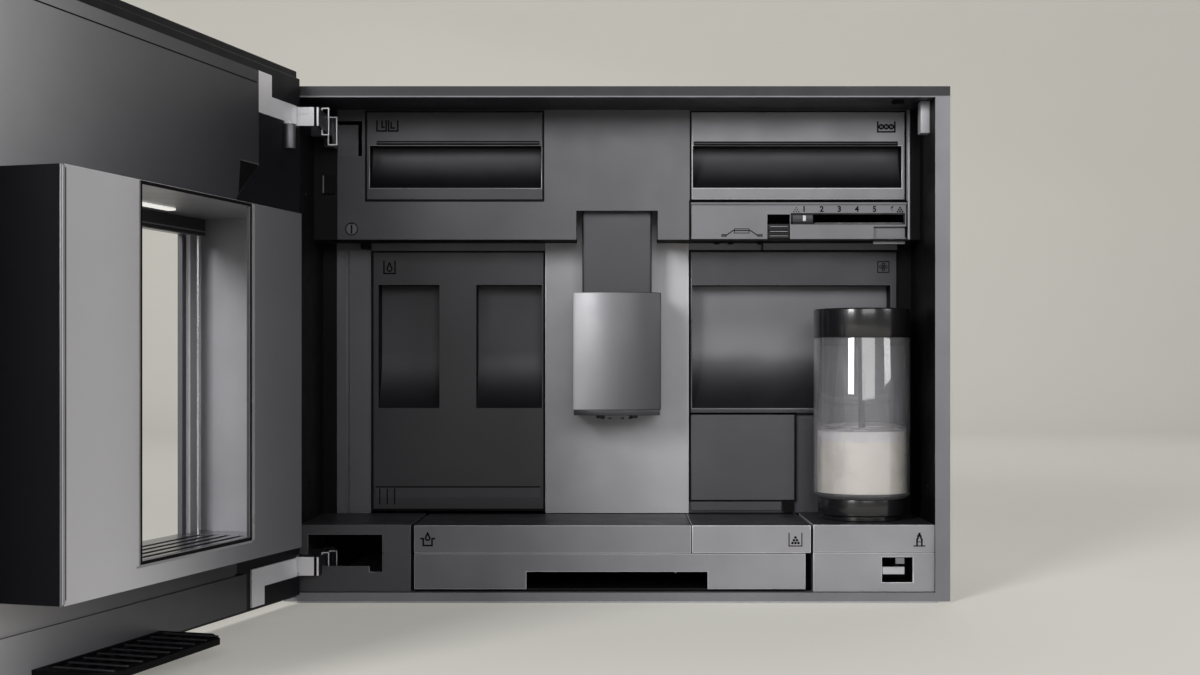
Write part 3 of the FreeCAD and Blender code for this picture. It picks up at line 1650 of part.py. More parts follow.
def make_outlet():
    """Height-adjusted outlet: guide rail on the column, neck, curved head and spout base."""
    rail = block(
        "RailBar",
        ("-rail_half", "rail_half"),
        ("lower_plane - rail_depth", "lower_plane"),
        ("rail_low", "rail_high"),
    )
    node("outlet_rail", rail)
    neck = block(
        "NeckBar", ("-neck_half", "neck_half"), ("neck_front", "neck_back"), ("head_top", "neck_top")
    )
    slim = rounded("NeckRounded", neck, "neck_edge", "Z")
    node("outlet_neck", cut("Neck", slim, rail_groove("NeckGroove")))
    head = curved_head("Head", "0", "head_low", "head_top")
    node("outlet_head", cut("HeadGrooved", head, rail_groove("HeadGroove")))
    base = curved_head("SpoutBase", "spout_inset", "spout_base_low", "head_low")
    tools = [rail_groove("BaseGroove")]
    spouts = []
    for side in ("-nozzle_x", "nozzle_x"):
        at = (side, "nozzle_y")
        spouts.append(rod("Spout", "Z", "nozzle_radius", ("nozzle_low", "spout_base_low"), at))
        tools.append(rod("SpoutBore", "Z", "nozzle_bore", ("nozzle_low - over", "head_low - nozzle_top"), at))
    node("spout_base", cut("Spouts", fuse("SpoutJoined", base, *spouts), *tools))


def rail_groove(name):
    """Clearance of the guide rail through the outlet."""
    return block(
        name,
        ("-rail_half - slide_gap", "rail_half + slide_gap"),
        ("lower_plane - rail_depth - slide_gap", "neck_back + over"),
        ("nozzle_low - over", "neck_top + over"),
    )


def curved_head(name, inset, low, high):
    """Block with a convex front between two heights."""
    bar = block(
        name + "Bar",
        (f"-head_half + {inset}", f"head_half - {inset}"),
        (f"head_front + {inset}", "neck_back"),
        (low, high),
    )
    drum = rod(
        name + "Drum",
        "Z",
        "head_radius",
        (low, high),
        ("0", f"head_front + {inset} + head_radius"),
    )
    return overlap(name + "Curved", bar, drum)


# ---------------------------------------------------------------- drip side


def make_drip_tray():
    """Drip tray basin with the slotted lower front and the cover over its front part."""
    basin = open_bin(
        "Basin",
        ("-tray_left", "tray_right"),
        ("row_front + tray_front_wall", "tray_back"),
        ("row_bottom", "tray_top"),
        "tray_wall",
    )
    mouth = block(
        "BasinMouth",
        ("-slot_half", "slot_half"),
        ("row_front", "row_front + tray_front_wall + tray_wall + over"),
        ("row_bottom + tray_wall", "slot_top"),
    )
    node("drip_tray", cut("BasinWithMouth", basin, mouth))
    plate = block(
        "TrayFrontPlate",
        ("-tray_left", "tray_right"),
        ("row_front", "row_front + tray_front_wall"),
        ("tray_front_low", "tray_top"),
    )
    slot = block(
        "TrayFrontSlot",
        ("-slot_half", "slot_half"),
        ("row_front - over", "row_front + tray_front_wall + over"),
        ("row_bottom", "slot_top"),
    )
    node("drip_tray_front", cut("TrayFront", plate, slot))
    outside = block(
        "TrayCoverOutside",
        ("-tray_left", "split - split_gap"),
        ("row_front", "cover_back"),
        ("tray_top", "row_top - cover_top_gap"),
    )
    inside = block(
        "TrayCoverInside",
        ("-tray_left + tray_wall", "split - split_gap - tray_wall"),
        ("row_front + tray_front_wall", "cover_back - tray_wall"),
        ("tray_top - over", "cover_low"),
    )
    node("drip_tray_cover", cut("TrayCover", outside, inside))


def make_grounds_container():
    """Grounds container: front face, roofed front part and open bin below the chute."""
    outside = block(
        "GroundsOutside",
        ("split + split_gap", "grounds_right"),
        ("row_front", "grounds_back"),
        ("tray_top + tray_clear", "row_top - cover_top_gap"),
    )
    inside = block(
        "GroundsInside",
        ("split + split_gap + tray_wall", "grounds_right - tray_wall"),
        ("row_front + tray_front_wall", "grounds_back - tray_wall"),
        ("tray_top + tray_clear + tray_wall", "cover_low"),
    )
    mouth = block(
        "GroundsMouth",
        ("split + split_gap + tray_wall", "grounds_right - tray_wall"),
        ("cover_back", "grounds_back - tray_wall"),
        ("tray_top + tray_clear + tray_wall", "row_top + over"),
    )
    node("grounds_container", cut("Grounds", outside, inside, mouth))


# ---------------------------------------------------------------- milk container


def make_milk_container():
    """Milk container: foot, glass, the milk in it, and the lid with its suction pipe."""
    at = ("milk_x", "milk_y")
    low = "row_top + tray_clear"
    foot = [
        ("0", low),
        ("milk_ring", low),
        ("milk_ring", f"{low} + milk_ring_height"),
        ("milk_foot", f"{low} + milk_ring_height + milk_edge"),
        ("milk_foot", "milk_base_top"),
        ("0", "milk_base_top"),
    ]
    node("milk_foot", turned("MilkFoot", foot, *at))
    wall = "milk_radius - milk_glass"
    glass = [
        ("0", "milk_base_top"),
        ("milk_radius - milk_heel", "milk_base_top"),
        ("milk_radius", "milk_base_top + milk_heel_height"),
        ("milk_radius", "milk_glass_top"),
        (wall, "milk_glass_top"),
        (wall, "milk_base_top + milk_floor"),
        ("0", "milk_base_top + milk_floor"),
    ]
    node("milk_glass", turned("MilkGlass", glass, *at))
    fill = [
        ("pipe_radius + milk_gap", "milk_base_top + milk_floor"),
        (wall, "milk_base_top + milk_floor"),
        (wall, "milk_level"),
        ("pipe_radius + milk_gap", "milk_level"),
    ]
    node("milk", turned("MilkFill", fill, *at))
    lid = [
        ("0", "milk_glass_top - lid_plug"),
        (f"{wall} - milk_gap", "milk_glass_top - lid_plug"),
        (f"{wall} - milk_gap", "milk_glass_top + milk_gap"),
        ("milk_radius", "milk_glass_top + milk_gap"),
        ("milk_radius", "milk_lid_top - milk_edge"),
        ("milk_radius - milk_edge", "milk_lid_top"),
        ("0", "milk_lid_top"),
    ]
    under = "milk_glass_top - lid_plug"
    pipe = rod("PipeOutside", "Z", "pipe_radius", ("pipe_low", under), at)
    bore = rod("PipeBore", "Z", "pipe_radius - pipe_wall", ("pipe_low - over", f"{under} - pipe_wall"), at)
    node("milk_lid", fuse("LidWithPipe", turned("MilkLid", lid, *at), cut("Pipe", pipe, bore)))


# ---------------------------------------------------------------- hinges


def make_hinge_arms():
    """Hinge arms, upper and lower: front plate, web into the recess, end cup and fixing foot."""
    arms = []
    for name, top, wall in (
        ("Upper", "hinge_high", "-opening_half"),
        ("Lower", "hinge_low", "-opening_half + bay_wall"),
    ):
        tall = (f"{top} - arm_height", top)
        deep = ("cup_front", "upper_plane + lip_setback")
        face = block(
            name + "ArmFace",
            ("-arm_left", "-arm_right"),
            ("-arm_front", "-arm_front + arm_sheet"),
            tall,
        )
        web = block(
            name + "ArmWeb",
            ("-arm_right - arm_sheet", "-arm_right"),
            ("-arm_front", deep[1]),
            tall,
        )
        cup = ("-cup_left", "-cup_right")
        ring = block(name + "CupRing", cup, deep, (f"{top} - cup_height", f"{top} + cup_rise"))
        eye = block(
            name + "CupEye",
            ("-cup_left + cup_rim", "-arm_right"),
            ("cup_front - over", f"{deep[1]} + over"),
            (f"{top} - cup_height + cup_rim", f"{top} + cup_rise - cup_rim"),
        )
        foot = block(name + "ArmFoot", (wall, "-cup_left"), deep, tall)
        arms.append(fuse(name + "Arm", face, web, foot, cut(name + "Cup", ring, eye)))
    node("hinge_arms", together("Arms", *arms))


def make_door_catch():
    """Catch on the recess wall that holds the door shut."""
    wide = ("catch_left", "opening_half")
    body = block("CatchBody", wide, ("catch_front", "catch_back"), ("catch_low", "opening_top"))
    node("door_catch", rounded("Catch", body, "catch_edge", "Z"))


def make_hinge_brackets():
    """Door-side hinge brackets, each with a foot plate; the upper one carries the hinge pin."""
    deep = ("-slab_back", "-slab_back + bracket_sheet")
    high = ("hinge_high - arm_height", "hinge_high")
    low = ("hinge_low - arm_height", "hinge_low")
    pin_span = (f"{high[0]} - pin_drop", high[0])
    upper_foot = ("-bracket_right - upper_foot_width", "-bracket_right")
    upper = fuse(
        "UpperHinge",
        block("UpperBracket", ("-bracket_left", "-bracket_right"), deep, high),
        block("UpperFoot", upper_foot, deep, (high[1], "slab_high - upper_foot_gap")),
        block("PinEar", ("-pin_x - pin_ear", "-pin_x + pin_ear"), deep, pin_span),
        rod("HingePin", "Z", "pin_radius", pin_span, ("-pin_x", "-pin_y")),
    )
    lower = fuse(
        "LowerHinge",
        block("LowerBracket", ("-bracket_left", "-foot_right"), deep, low),
        block("LowerFoot", ("-foot_left", "-foot_right"), deep, ("slab_low + lower_foot_gap", low[0])),
    )
    hung("hinge_brackets", upper, lower)


# ---------------------------------------------------------------- door


def niche_window(name, gap, y):
    """Window for the niche box, wider by a gap on each side."""
    x = (f"-niche_half - {gap}", f"niche_half + {gap}")
    return block(name, x, y, (f"niche_low - {gap}", f"niche_high + {gap}"))


def make_door_front():
    """Glass front of the door and the carrier slab behind it."""
    front = "-door_plane"
    back = "-door_plane + glass"
    glass = block("DoorGlass", ("-door_half", "door_half"), (front, back), ("door_low", "door_high"))
    window = block(
        "GlassWindow",
        ("-trim_half", "trim_half"),
        ("-door_plane - over", "-slab_back + over"),
        ("trim_low", "trim_high"),
    )
    hung("door_front_panel", cut("GlassFrame", glass, window))
    slab = block(
        "DoorSlab",
        ("-door_half + slab_inset", "door_half - slab_inset"),
        (back, "-slab_back"),
        ("slab_low", "slab_high"),
    )
    notches = []
    for top in ("hinge_high", "hinge_low"):
        notches.append(
            block(
                "SlabNotch",
                ("-door_half", "-door_half + slab_notch"),
                (back, "0"),
                (f"{top} - arm_height - notch_gap", f"{top} + notch_gap"),
            )
        )
    window = niche_window("SlabWindow", "trim_gap", (back, "0"))
    hung("door_carrier", cut("SlabFrame", slab, window, *notches))


def make_niche_trim():
    """Bright trim around the niche's front edge."""
    outside = block(
        "TrimOutside",
        ("-trim_half + trim_clear", "trim_half - trim_clear"),
        ("-door_plane", "-door_plane + glass"),
        ("trim_low + trim_clear", "trim_high - trim_clear"),
    )
    inside = block(
        "TrimInside",
        ("-niche_half + niche_wall", "niche_half - niche_wall"),
        ("-door_plane - over", "0"),
        ("niche_low + niche_wall", "niche_high - niche_wall"),
    )
    hung("niche_trim", cut("Trim", outside, inside))


def make_inner_panel():
    """Inner door panel: a dished cover, notched at the hinge, with a seam above its foot."""
    deep = ("-slab_back", "-inner_back")
    points = [
        ("-inner_foot", "inner_low"),
        ("inner_right", "inner_low"),
        ("inner_right", "inner_top"),
        ("-inner_left", "inner_top"),
        ("-inner_left", "notch_high"),
        ("-inner_neck", "notch_low"),
        ("-inner_neck", "seam_low"),
        ("-inner_foot", "seam_low"),
    ]
    panel = outline("InnerOutline", "XZ_Plane", points, *deep)
    hollow_y = ("-slab_back - over", "-inner_back - inner_skin")
    hollows = []
    for left, low, high in (
        ("inner_foot", "inner_low + inner_skin", "seam_low - inner_skin"),
        ("inner_neck", "seam_high + inner_skin", "notch_high"),
        ("inner_left", "notch_high", "inner_top - inner_skin"),
    ):
        wide = (f"-{left} + inner_skin", "inner_right - inner_skin")
        hollows.append(block("InnerHollow", wide, hollow_y, (low, high)))
    seam = block(
        "InnerSeam",
        ("-inner_foot - over", "inner_right + over"),
        ("-inner_back - inner_seam_depth", "0"),
        ("seam_low", "seam_high"),
    )
    window = niche_window("InnerWindow", "niche_gap", ("-slab_back - over", "0"))
    flank = block(
        "InnerFlank",
        ("-inner_left - inner_slope", "-inner_left"),
        ("-slab_back", "-slab_back + inner_skin"),
        ("notch_high", "hinge_high - arm_height - flank_gap"),
    )
    skin = cut("InnerDish", panel, *hollows, seam, window)
    hung("door_inner_panel", fuse("InnerWithFlank", skin, flank))


def make_niche_box():
    """Niche for the cup: box open to the front, with the outlet's mouth in its back wall."""
    outside = block(
        "NicheOutside",
        ("-niche_half", "niche_half"),
        ("-door_plane + glass", "niche_back"),
        ("niche_low", "niche_high"),
    )
    inside = block(
        "NicheInside",
        ("-niche_half + niche_wall", "niche_half - niche_wall"),
        ("-door_plane", "niche_back - niche_wall"),
        ("niche_low + niche_wall", "niche_high - niche_wall"),
    )
    mouth = block(
        "NicheMouth",
        ("-mouth_half", "mouth_half"),
        ("niche_back - 2 * niche_wall", "niche_back + over"),
        ("mouth_low", "niche_high - niche_wall"),
    )
    drain = rod(
        "NicheDrain",
        "Z",
        "drain_radius",
        ("niche_low - over", "niche_low + niche_wall + over"),
        ("0", "niche_back / 2"),
    )
    bevelled = rounded(
        "NicheBevelled",
        outside,
        "niche_edge",
        "Z",
        lambda middle: middle.y > worth("niche_back / 2"),
    )
    hung("niche_box", cut("Niche", bevelled, inside, mouth, drain))


def make_niche_grate():
    """Slotted metal grate on the niche's floor."""
    x = ("-niche_half + niche_wall + niche_gap", "niche_half - niche_wall - niche_gap")
    y = ("-door_plane + glass + grate_front_gap", "niche_back - niche_wall - niche_gap")
    outside = block("GrateOutside", x, y, ("niche_low + niche_wall", "grate_top"))
    inside = block(
        "GrateInside",
        (f"{x[0]} + grate_sheet", f"{x[1]} - grate_sheet"),
        (f"{y[0]} + grate_sheet", f"{y[1]} - grate_sheet"),
        ("niche_low", "grate_top - grate_sheet"),
    )
    slots = []
    first = "niche_back / 2 - grate_shift - grate_pitch * (grate_count - 1) / 2"
    for index in range(int(worth("grate_count"))):
        start = f"{first} + {index} * grate_pitch"
        slots.append(
            block(
                "GrateSlot",
                ("-grate_half", "grate_half"),
                (start, f"{start} + grate_slot"),
                ("grate_top - 2 * grate_sheet", "grate_top + over"),
            )
        )
    hung("niche_grate", cut("Grate", outside, inside, *slots))


def make_niche_light():
    """Light strip under the niche's ceiling."""
    top = "niche_high - niche_wall"
    bar = block(
        "LampBar", ("-lamp_half", "lamp_half"), ("lamp_front", "lamp_back"), (f"{top} - lamp_height", top)
    )
    lower = worth(f"{top} - lamp_height / 2")
    hung("niche_light", rounded("Lamp", bar, "lamp_edge", "X", lambda middle: middle.z < lower))


def make_drip_tongue():
    """Channelled tongue that leads drops from the niche into the drip tray."""
    sheet = ("tongue_low", "tongue_low + tongue_sheet")
    points = [
        ("-tongue_half", "-inner_back"),
        ("tongue_half", "-inner_back"),
        ("tongue_half", "tongue_reach - tongue_corner"),
        ("tongue_half - tongue_corner", "tongue_reach"),
        ("-tongue_half + tongue_corner", "tongue_reach"),
        ("-tongue_half", "tongue_reach - tongue_corner"),
    ]
    plate = outline("TonguePlate", "XY_Plane", points, *sheet)
    channels = []
    wide = ("-tongue_half + tongue_margin", "tongue_half - tongue_margin")
    top = sheet[1]
    for index in range(int(worth("tongue_channels"))):
        start = f"{index} * (tongue_channel + tongue_rib)"
        long = (start, f"{start} + tongue_channel")
        deep = (f"{top} - tongue_channel_depth", f"{top} + over")
        channels.append(block("TongueChannel", wide, long, deep))
    hung("drip_tongue", cut("Tongue", plate, *channels))


def write_parts():
    """Recompute, check every object and write one STEP file for each node."""
    DOC.recompute()
    for item in DOC.Objects:
        if "Invalid" in item.State or "Error" in item.State:
            raise RuntimeError(f"{item.Name} failed: {item.State}")
    os.makedirs("parts", exist_ok=True)
    for label, item in NODES.items():
        shape = item.Shape
        if shape.isNull() or not shape.isValid():
            raise RuntimeError(f"{label} has no valid shape")
        shape.exportStep(f"parts/{label}.step")
    print(len(NODES), "nodes written")


def main():
    """Build the whole machine."""
    fill_sheet()
    make_base_plate()
    make_housing_shell()
    make_rear_panel()
    make_front_frame()
    make_recess_liner()
    make_carrier()
    make_upper_fascia()
    make_centre_column()
    make_left_post()
    make_lower_right_panel()
    make_corner_cover()
    make_milk_bay()
    make_setting_panel()
    make_grind_slider()
    make_thumb_latch()
    make_cover_screw()
    make_storage_drawer()
    make_bean_drawer()
    make_grinder()
    make_brew_cover()
    make_brew_unit()
    make_water_tank()
    make_pump()
    make_heater()
    make_valve_block()
    make_pressure_hose()
    make_mains_inlet()
    make_outlet()
    make_drip_tray()
    make_grounds_container()
    make_milk_container()
    make_hinge_arms()
    make_door_catch()
    make_hinge_brackets()
    make_door_front()
    make_niche_trim()
    make_inner_panel()
    make_niche_box()
    make_niche_grate()
    make_niche_light()
    make_drip_tongue()
    write_parts()


main()
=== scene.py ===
"""Built-in coffee machine, dressed: rounded mouldings, finishes, icons, hinges, niche and milk."""

import json
import logging
import math
from dataclasses import dataclass, replace
from enum import Enum
from typing import Callable, Iterable, Sequence

import bmesh
import bpy
from mathutils import Matrix, Vector


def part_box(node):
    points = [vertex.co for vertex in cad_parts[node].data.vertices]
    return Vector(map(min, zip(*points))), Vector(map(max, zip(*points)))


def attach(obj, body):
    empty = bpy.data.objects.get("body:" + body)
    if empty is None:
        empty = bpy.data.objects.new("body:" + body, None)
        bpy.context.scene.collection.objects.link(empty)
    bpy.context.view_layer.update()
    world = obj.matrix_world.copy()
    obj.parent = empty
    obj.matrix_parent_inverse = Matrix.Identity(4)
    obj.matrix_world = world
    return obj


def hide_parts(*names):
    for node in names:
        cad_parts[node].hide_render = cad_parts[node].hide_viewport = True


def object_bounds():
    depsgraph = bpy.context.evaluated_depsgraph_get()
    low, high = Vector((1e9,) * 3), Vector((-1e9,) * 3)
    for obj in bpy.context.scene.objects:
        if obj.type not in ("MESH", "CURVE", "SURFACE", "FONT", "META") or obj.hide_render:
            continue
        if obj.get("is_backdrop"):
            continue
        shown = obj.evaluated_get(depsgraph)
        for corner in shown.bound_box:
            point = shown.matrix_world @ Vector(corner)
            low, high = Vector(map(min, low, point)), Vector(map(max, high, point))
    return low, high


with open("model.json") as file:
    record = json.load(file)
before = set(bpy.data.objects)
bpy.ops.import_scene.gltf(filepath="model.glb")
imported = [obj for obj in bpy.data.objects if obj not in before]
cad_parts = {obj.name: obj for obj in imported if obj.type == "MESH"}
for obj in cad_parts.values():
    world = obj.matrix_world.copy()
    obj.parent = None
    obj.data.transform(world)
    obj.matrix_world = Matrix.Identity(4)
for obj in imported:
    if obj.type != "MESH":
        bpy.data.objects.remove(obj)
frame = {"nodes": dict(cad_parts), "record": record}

LOG = logging.getLogger("coffee_machine")
MM = 0.001
PRINT_PROUD = 0.12
PRINT_SINK = 0.05
NOISE_LOW = 0.3
NOISE_HIGH = 0.7
SHEEN_CELLS = 45.0
GRAIN_CELLS = 2600.0
GRAIN_DEPTH = 0.00008
Point = tuple[float, float, float]
Flat = tuple[float, float]
Span = tuple[Point, Point]
Socket = bpy.types.NodeSocket
Material = bpy.types.Material
Item = bpy.types.Object
Face = bmesh.types.BMFace
Vert = bmesh.types.BMVert


class Axis(Enum):
    """A direction of the machine: across, deep or up."""

    X = Vector((1, 0, 0))
    Y = Vector((0, 1, 0))
    Z = Vector((0, 0, 1))


class Setting(Enum):
    """Where a piece is when it has been modelled."""

    FIXED = "where it was modelled"
    ON_DOOR = "modelled on the closed door, which then swings open"


# ---------------------------------------------------------------- finishes


def shade(level: float, warmth: float = -4.0) -> tuple[float, float, float, float]:
    """A grey from its display level, a little cool unless it is said otherwise.

    Args:
        level: display brightness of red from 0 to 255.
        warmth: how far red stands above blue, on the same scale.

    Returns:
        Linear red, green, blue and an alpha of 1.
    """
    green = level - max(warmth * 0.27, -warmth / 8)
    tones = (level, green, level - warmth)
    return (*[linear(tone / 255) for tone in tones], 1.0)


def linear(tone: float) -> float:
    """Display tone to linear light."""
    return tone / 12.92 if tone <= 0.04045 else ((tone + 0.055) / 1.055) ** 2.4


class NodeBoard:
    """A material's node tree, with short ways to add and join nodes."""

    def __init__(self, name: str) -> None:
        """Start a material with a Principled shader and object coordinates.

        Args:
            name: the material's name.
        """
        self.material = bpy.data.materials.new(name)
        self.material.use_nodes = True
        self.tree = self.material.node_tree
        self.shader = next(n for n in self.tree.nodes if n.type == "BSDF_PRINCIPLED")
        self.place = self.tree.nodes.new("ShaderNodeTexCoord").outputs["Object"]

    def add(self, kind: str, inputs: dict | None = None, **values: object) -> bpy.types.Node:
        """Add a node.

        Args:
            kind: the node's type name without its prefix.
            inputs: what its sockets get, by name or number: a value, or an output to be joined.
            values: attributes of the node to set.

        Returns:
            The new node.
        """
        item = self.tree.nodes.new("ShaderNode" + kind)
        for name, value in values.items():
            setattr(item, name, value)
        for name, value in (inputs or {}).items():
            if isinstance(value, Socket):
                self.join(value, item.inputs[name])
            else:
                item.inputs[name].default_value = value
        return item

    def join(self, source: Socket, target: Socket) -> None:
        """Link an output to an input."""
        self.tree.links.new(source, target)

    def stretched(self, scale: Point) -> Socket:
        """Object coordinates scaled by axis."""
        return self.add("Mapping", {"Scale": scale, "Vector": self.place}).outputs["Vector"]

    def noise(self, scale: float, detail: float = 3.0, place: Socket | None = None) -> Socket:
        """A noise texture's factor.

        Args:
            scale: cells per metre.
            detail: octaves.
            place: coordinates, the object's own when left out.

        Returns:
            The factor output.
        """
        inputs = {"Scale": scale, "Detail": detail, "Vector": place or self.place}
        return self.add("TexNoise", inputs).outputs["Fac"]

    def spread(self, source: Socket, low: float, high: float) -> Socket:
        """Map the range that a noise really covers to low and high.

        Args:
            source: the factor.
            low: value at the low end.
            high: value at the high end.

        Returns:
            The mapped output.
        """
        span = {"From Min": NOISE_LOW, "From Max": NOISE_HIGH, "To Min": low, "To Max": high}
        return self.add("MapRange", {**span, "Value": source}).outputs["Result"]

    def cloud(self, scale: float) -> Socket:
        """A soft noise stretched to run from 0 to 1."""
        return self.spread(self.noise(scale), 0.0, 1.0)

    def across(self, source: Socket, steep: float) -> Socket:
        """Add the place across the machine to a factor.

        Args:
            source: the factor.
            steep: how much is added per metre to the right.

        Returns:
            The sum.
        """
        across = self.add("SeparateXYZ", {"Vector": self.place}).outputs["X"]
        return self.add("Math", {0: across, 1: steep, 2: source}, operation="MULTIPLY_ADD").outputs[0]

    def tint(self, source: Socket, first: Sequence[float], second: Sequence[float]) -> None:
        """Mix two colours by a factor into the base colour.

        Args:
            source: the factor.
            first: colour at 0.
            second: colour at 1.
        """
        mixed = self.add("Mix", {6: first, 7: second, 0: source}, data_type="RGBA", clamp_factor=False)
        self.join(mixed.outputs[2], self.shader.inputs["Base Color"])

    def relief(self, source: Socket, strength: float, depth: float) -> None:
        """Bump the surface.

        Args:
            source: height factor.
            strength: bump strength from 0 to 1.
            depth: height in metres of a full factor.
        """
        bump = self.add("Bump", {"Strength": strength, "Distance": depth, "Height": source})
        self.join(bump.outputs["Normal"], self.shader.inputs["Normal"])

    def polish(self, source: Socket, low: float, high: float) -> None:
        """Vary the roughness between two values by a factor."""
        self.join(self.spread(source, low, high), self.shader.inputs["Roughness"])

    def give(self, **values: object) -> None:
        """Set shader sockets, named with underscores for spaces."""
        for name, value in values.items():
            self.shader.inputs[name.replace("_", " ")].default_value = value


@dataclass(frozen=True)
class MouldedPlastic:
    """Satin moulded plastic with a fine spark-eroded grain, and optionally a painted light slope that makes
    it lighter towards the right.
    """

    name: str
    level: float
    warmth: float = -4.0
    roughness: float = 0.42
    grain: float = 0.10
    spotted: float = 0.05
    metal: float = 0.25
    gloss: float = 0.5
    painted_light_slope: float = 0.0

    def make(self) -> Material:
        """Make the material.

        Returns:
            The material.
        """
        board = NodeBoard(self.name)
        cloud = board.cloud(14.0)
        # painted light: the tone rises towards the right, standing in for the open door's shade on the left
        if self.painted_light_slope:
            cloud = board.across(cloud, self.painted_light_slope / self.spotted / 2)
        darker = shade(self.level * (1 - self.spotted), self.warmth)
        board.tint(cloud, darker, shade(self.level * (1 + self.spotted), self.warmth))
        board.polish(board.noise(SHEEN_CELLS), self.roughness - 0.04, self.roughness + 0.05)
        board.relief(board.noise(GRAIN_CELLS, 2.0), self.grain, GRAIN_DEPTH)
        board.give(Metallic=self.metal, Specular_IOR_Level=self.gloss)
        return board.material


@dataclass(frozen=True)
class PaintedLightRamp:
    """Satin plastic with painted light and shade: its tone changes along one axis, as the shade and
    highlight in a scoop or the light falling along a wide panel.
    """

    name: str
    stops: tuple[tuple[float, float], ...]
    along: Axis = Axis.Z
    roughness: float = 0.46
    metal: float = 0.25
    gloss: float = 0.5

    def make(self) -> Material:
        """Make the material.

        Returns:
            The material.
        """
        board = NodeBoard(self.name)
        place = board.add("SeparateXYZ", {"Vector": board.place}).outputs[self.along.name]
        first, last = self.stops[0][0], self.stops[-1][0]
        span = {"From Min": first * MM, "From Max": last * MM, "Value": place}
        along = board.add("MapRange", span, clamp=False).outputs["Result"]
        mottled = board.add("Math", {0: board.noise(30.0), 1: 0.03, 2: along}, operation="MULTIPLY_ADD")
        ramp = board.add("ValToRGB", {"Fac": mottled.outputs[0]})
        ramp.color_ramp.interpolation = "B_SPLINE"
        points = ramp.color_ramp.elements
        while len(points) < len(self.stops):
            points.new(0.5)
        for point, (at, level) in zip(points, self.stops):
            point.position = (at - first) / (last - first)
            point.color = shade(level)
        board.join(ramp.outputs["Color"], board.shader.inputs["Base Color"])
        board.polish(board.noise(SHEEN_CELLS), self.roughness - 0.03, self.roughness + 0.05)
        board.relief(board.noise(GRAIN_CELLS, 2.0), 0.1, GRAIN_DEPTH)
        board.give(Metallic=self.metal, Specular_IOR_Level=self.gloss)
        return board.material


@dataclass(frozen=True)
class GlossPlastic:
    """Polished dark plastic or back-painted glass with a clear coat."""

    name: str
    level: float
    roughness: float = 0.12
    coat: float = 0.5

    def make(self) -> Material:
        """Make the material.

        Returns:
            The material.
        """
        board = NodeBoard(self.name)
        cloud = board.cloud(9.0)
        board.tint(cloud, shade(self.level * 0.94, -2), shade(self.level * 1.06, -2))
        board.polish(board.noise(30.0), self.roughness - 0.02, self.roughness + 0.03)
        board.relief(board.noise(60.0, 1.0), 0.02, 0.0001)
        board.give(Coat_Weight=self.coat, Coat_Roughness=0.06)
        return board.material


@dataclass(frozen=True)
class BrushedMetal:
    """Metal with fine lines along one axis."""

    name: str
    level: float
    along: Axis = Axis.X
    roughness: float = 0.28
    lines: float = 0.12

    def make(self) -> Material:
        """Make the material.

        Returns:
            The material.
        """
        board = NodeBoard(self.name)
        fine = [30.0 if self.along.value[i] else GRAIN_CELLS for i in range(3)]
        streaks = board.noise(1.0, 2.0, board.stretched(tuple(fine)))
        board.tint(board.spread(streaks, 0.0, 1.0), shade(self.level * 0.95), shade(self.level * 1.04))
        board.polish(streaks, self.roughness - 0.05, self.roughness + 0.08)
        board.relief(streaks, self.lines, 0.00003)
        board.give(Metallic=1.0)
        return board.material


@dataclass(frozen=True)
class SheetMetal:
    """Coated sheet steel with a faint spangle."""

    name: str
    level: float
    roughness: float = 0.45
    metal: float = 0.6

    def make(self) -> Material:
        """Make the material.

        Returns:
            The material.
        """
        board = NodeBoard(self.name)
        spangle = board.add("TexVoronoi", {"Scale": 160.0, "Vector": board.place})
        board.tint(spangle.outputs["Distance"], shade(self.level * 0.97), shade(self.level * 1.03))
        board.polish(board.noise(25.0), self.roughness - 0.01, self.roughness + 0.02)
        board.relief(board.noise(900.0), 0.05, 0.00005)
        board.give(Metallic=self.metal)
        return board.material


@dataclass(frozen=True)
class ClearPlastic:
    """Tinted see-through plastic."""

    name: str
    level: float
    roughness: float = 0.10
    density: float = 0.85

    def make(self) -> Material:
        """Make the material.

        Returns:
            The material.
        """
        board = NodeBoard(self.name)
        cloud = board.cloud(20.0)
        board.tint(cloud, shade(self.level * 0.96), shade(self.level * 1.03))
        board.polish(board.noise(35.0), self.roughness - 0.03, self.roughness + 0.04)
        board.relief(board.noise(120.0), 0.03, 0.00006)
        board.give(Transmission_Weight=self.density, IOR=1.49)
        return board.material


@dataclass(frozen=True)
class JugGlass:
    """Clear glass of the milk container."""

    name: str

    def make(self) -> Material:
        """Make the material.

        Returns:
            The material.
        """
        board = NodeBoard(self.name)
        cloud = board.cloud(12.0)
        board.tint(cloud, shade(247), shade(252))
        board.polish(board.noise(20.0), 0.02, 0.06)
        board.relief(board.noise(40.0, 1.0), 0.03, 0.0001)
        board.give(Transmission_Weight=0.92, IOR=1.5, Coat_Weight=0.6, Coat_Roughness=0.05)
        return board.material


@dataclass(frozen=True)
class Milk:
    """Milk or its foam: white and soft, slightly cream."""

    name: str
    level: float = 240
    warmth: float = 16

    def make(self) -> Material:
        """Make the material.

        Returns:
            The material.
        """
        board = NodeBoard(self.name)
        cloud = board.cloud(18.0)
        board.tint(cloud, shade(self.level - 6, self.warmth), shade(self.level + 6, self.warmth))
        board.polish(board.noise(30.0), 0.22, 0.32)
        board.relief(board.noise(70.0, 1.0), 0.04, 0.0001)
        board.give(Subsurface_Weight=0.1, Subsurface_Radius=(0.006, 0.005, 0.004))
        return board.material


@dataclass(frozen=True)
class Lamp:
    """Frosted lamp cover with a faint glow."""

    name: str
    glow: float = 0.7

    def make(self) -> Material:
        """Make the material.

        Returns:
            The material.
        """
        board = NodeBoard(self.name)
        board.tint(board.cloud(40.0), shade(228, 6), shade(240, 6))
        board.polish(board.noise(60.0), 0.35, 0.5)
        board.relief(board.noise(900.0), 0.06, 0.00005)
        board.give(Emission_Color=shade(250, 8), Emission_Strength=self.glow)
        return board.material


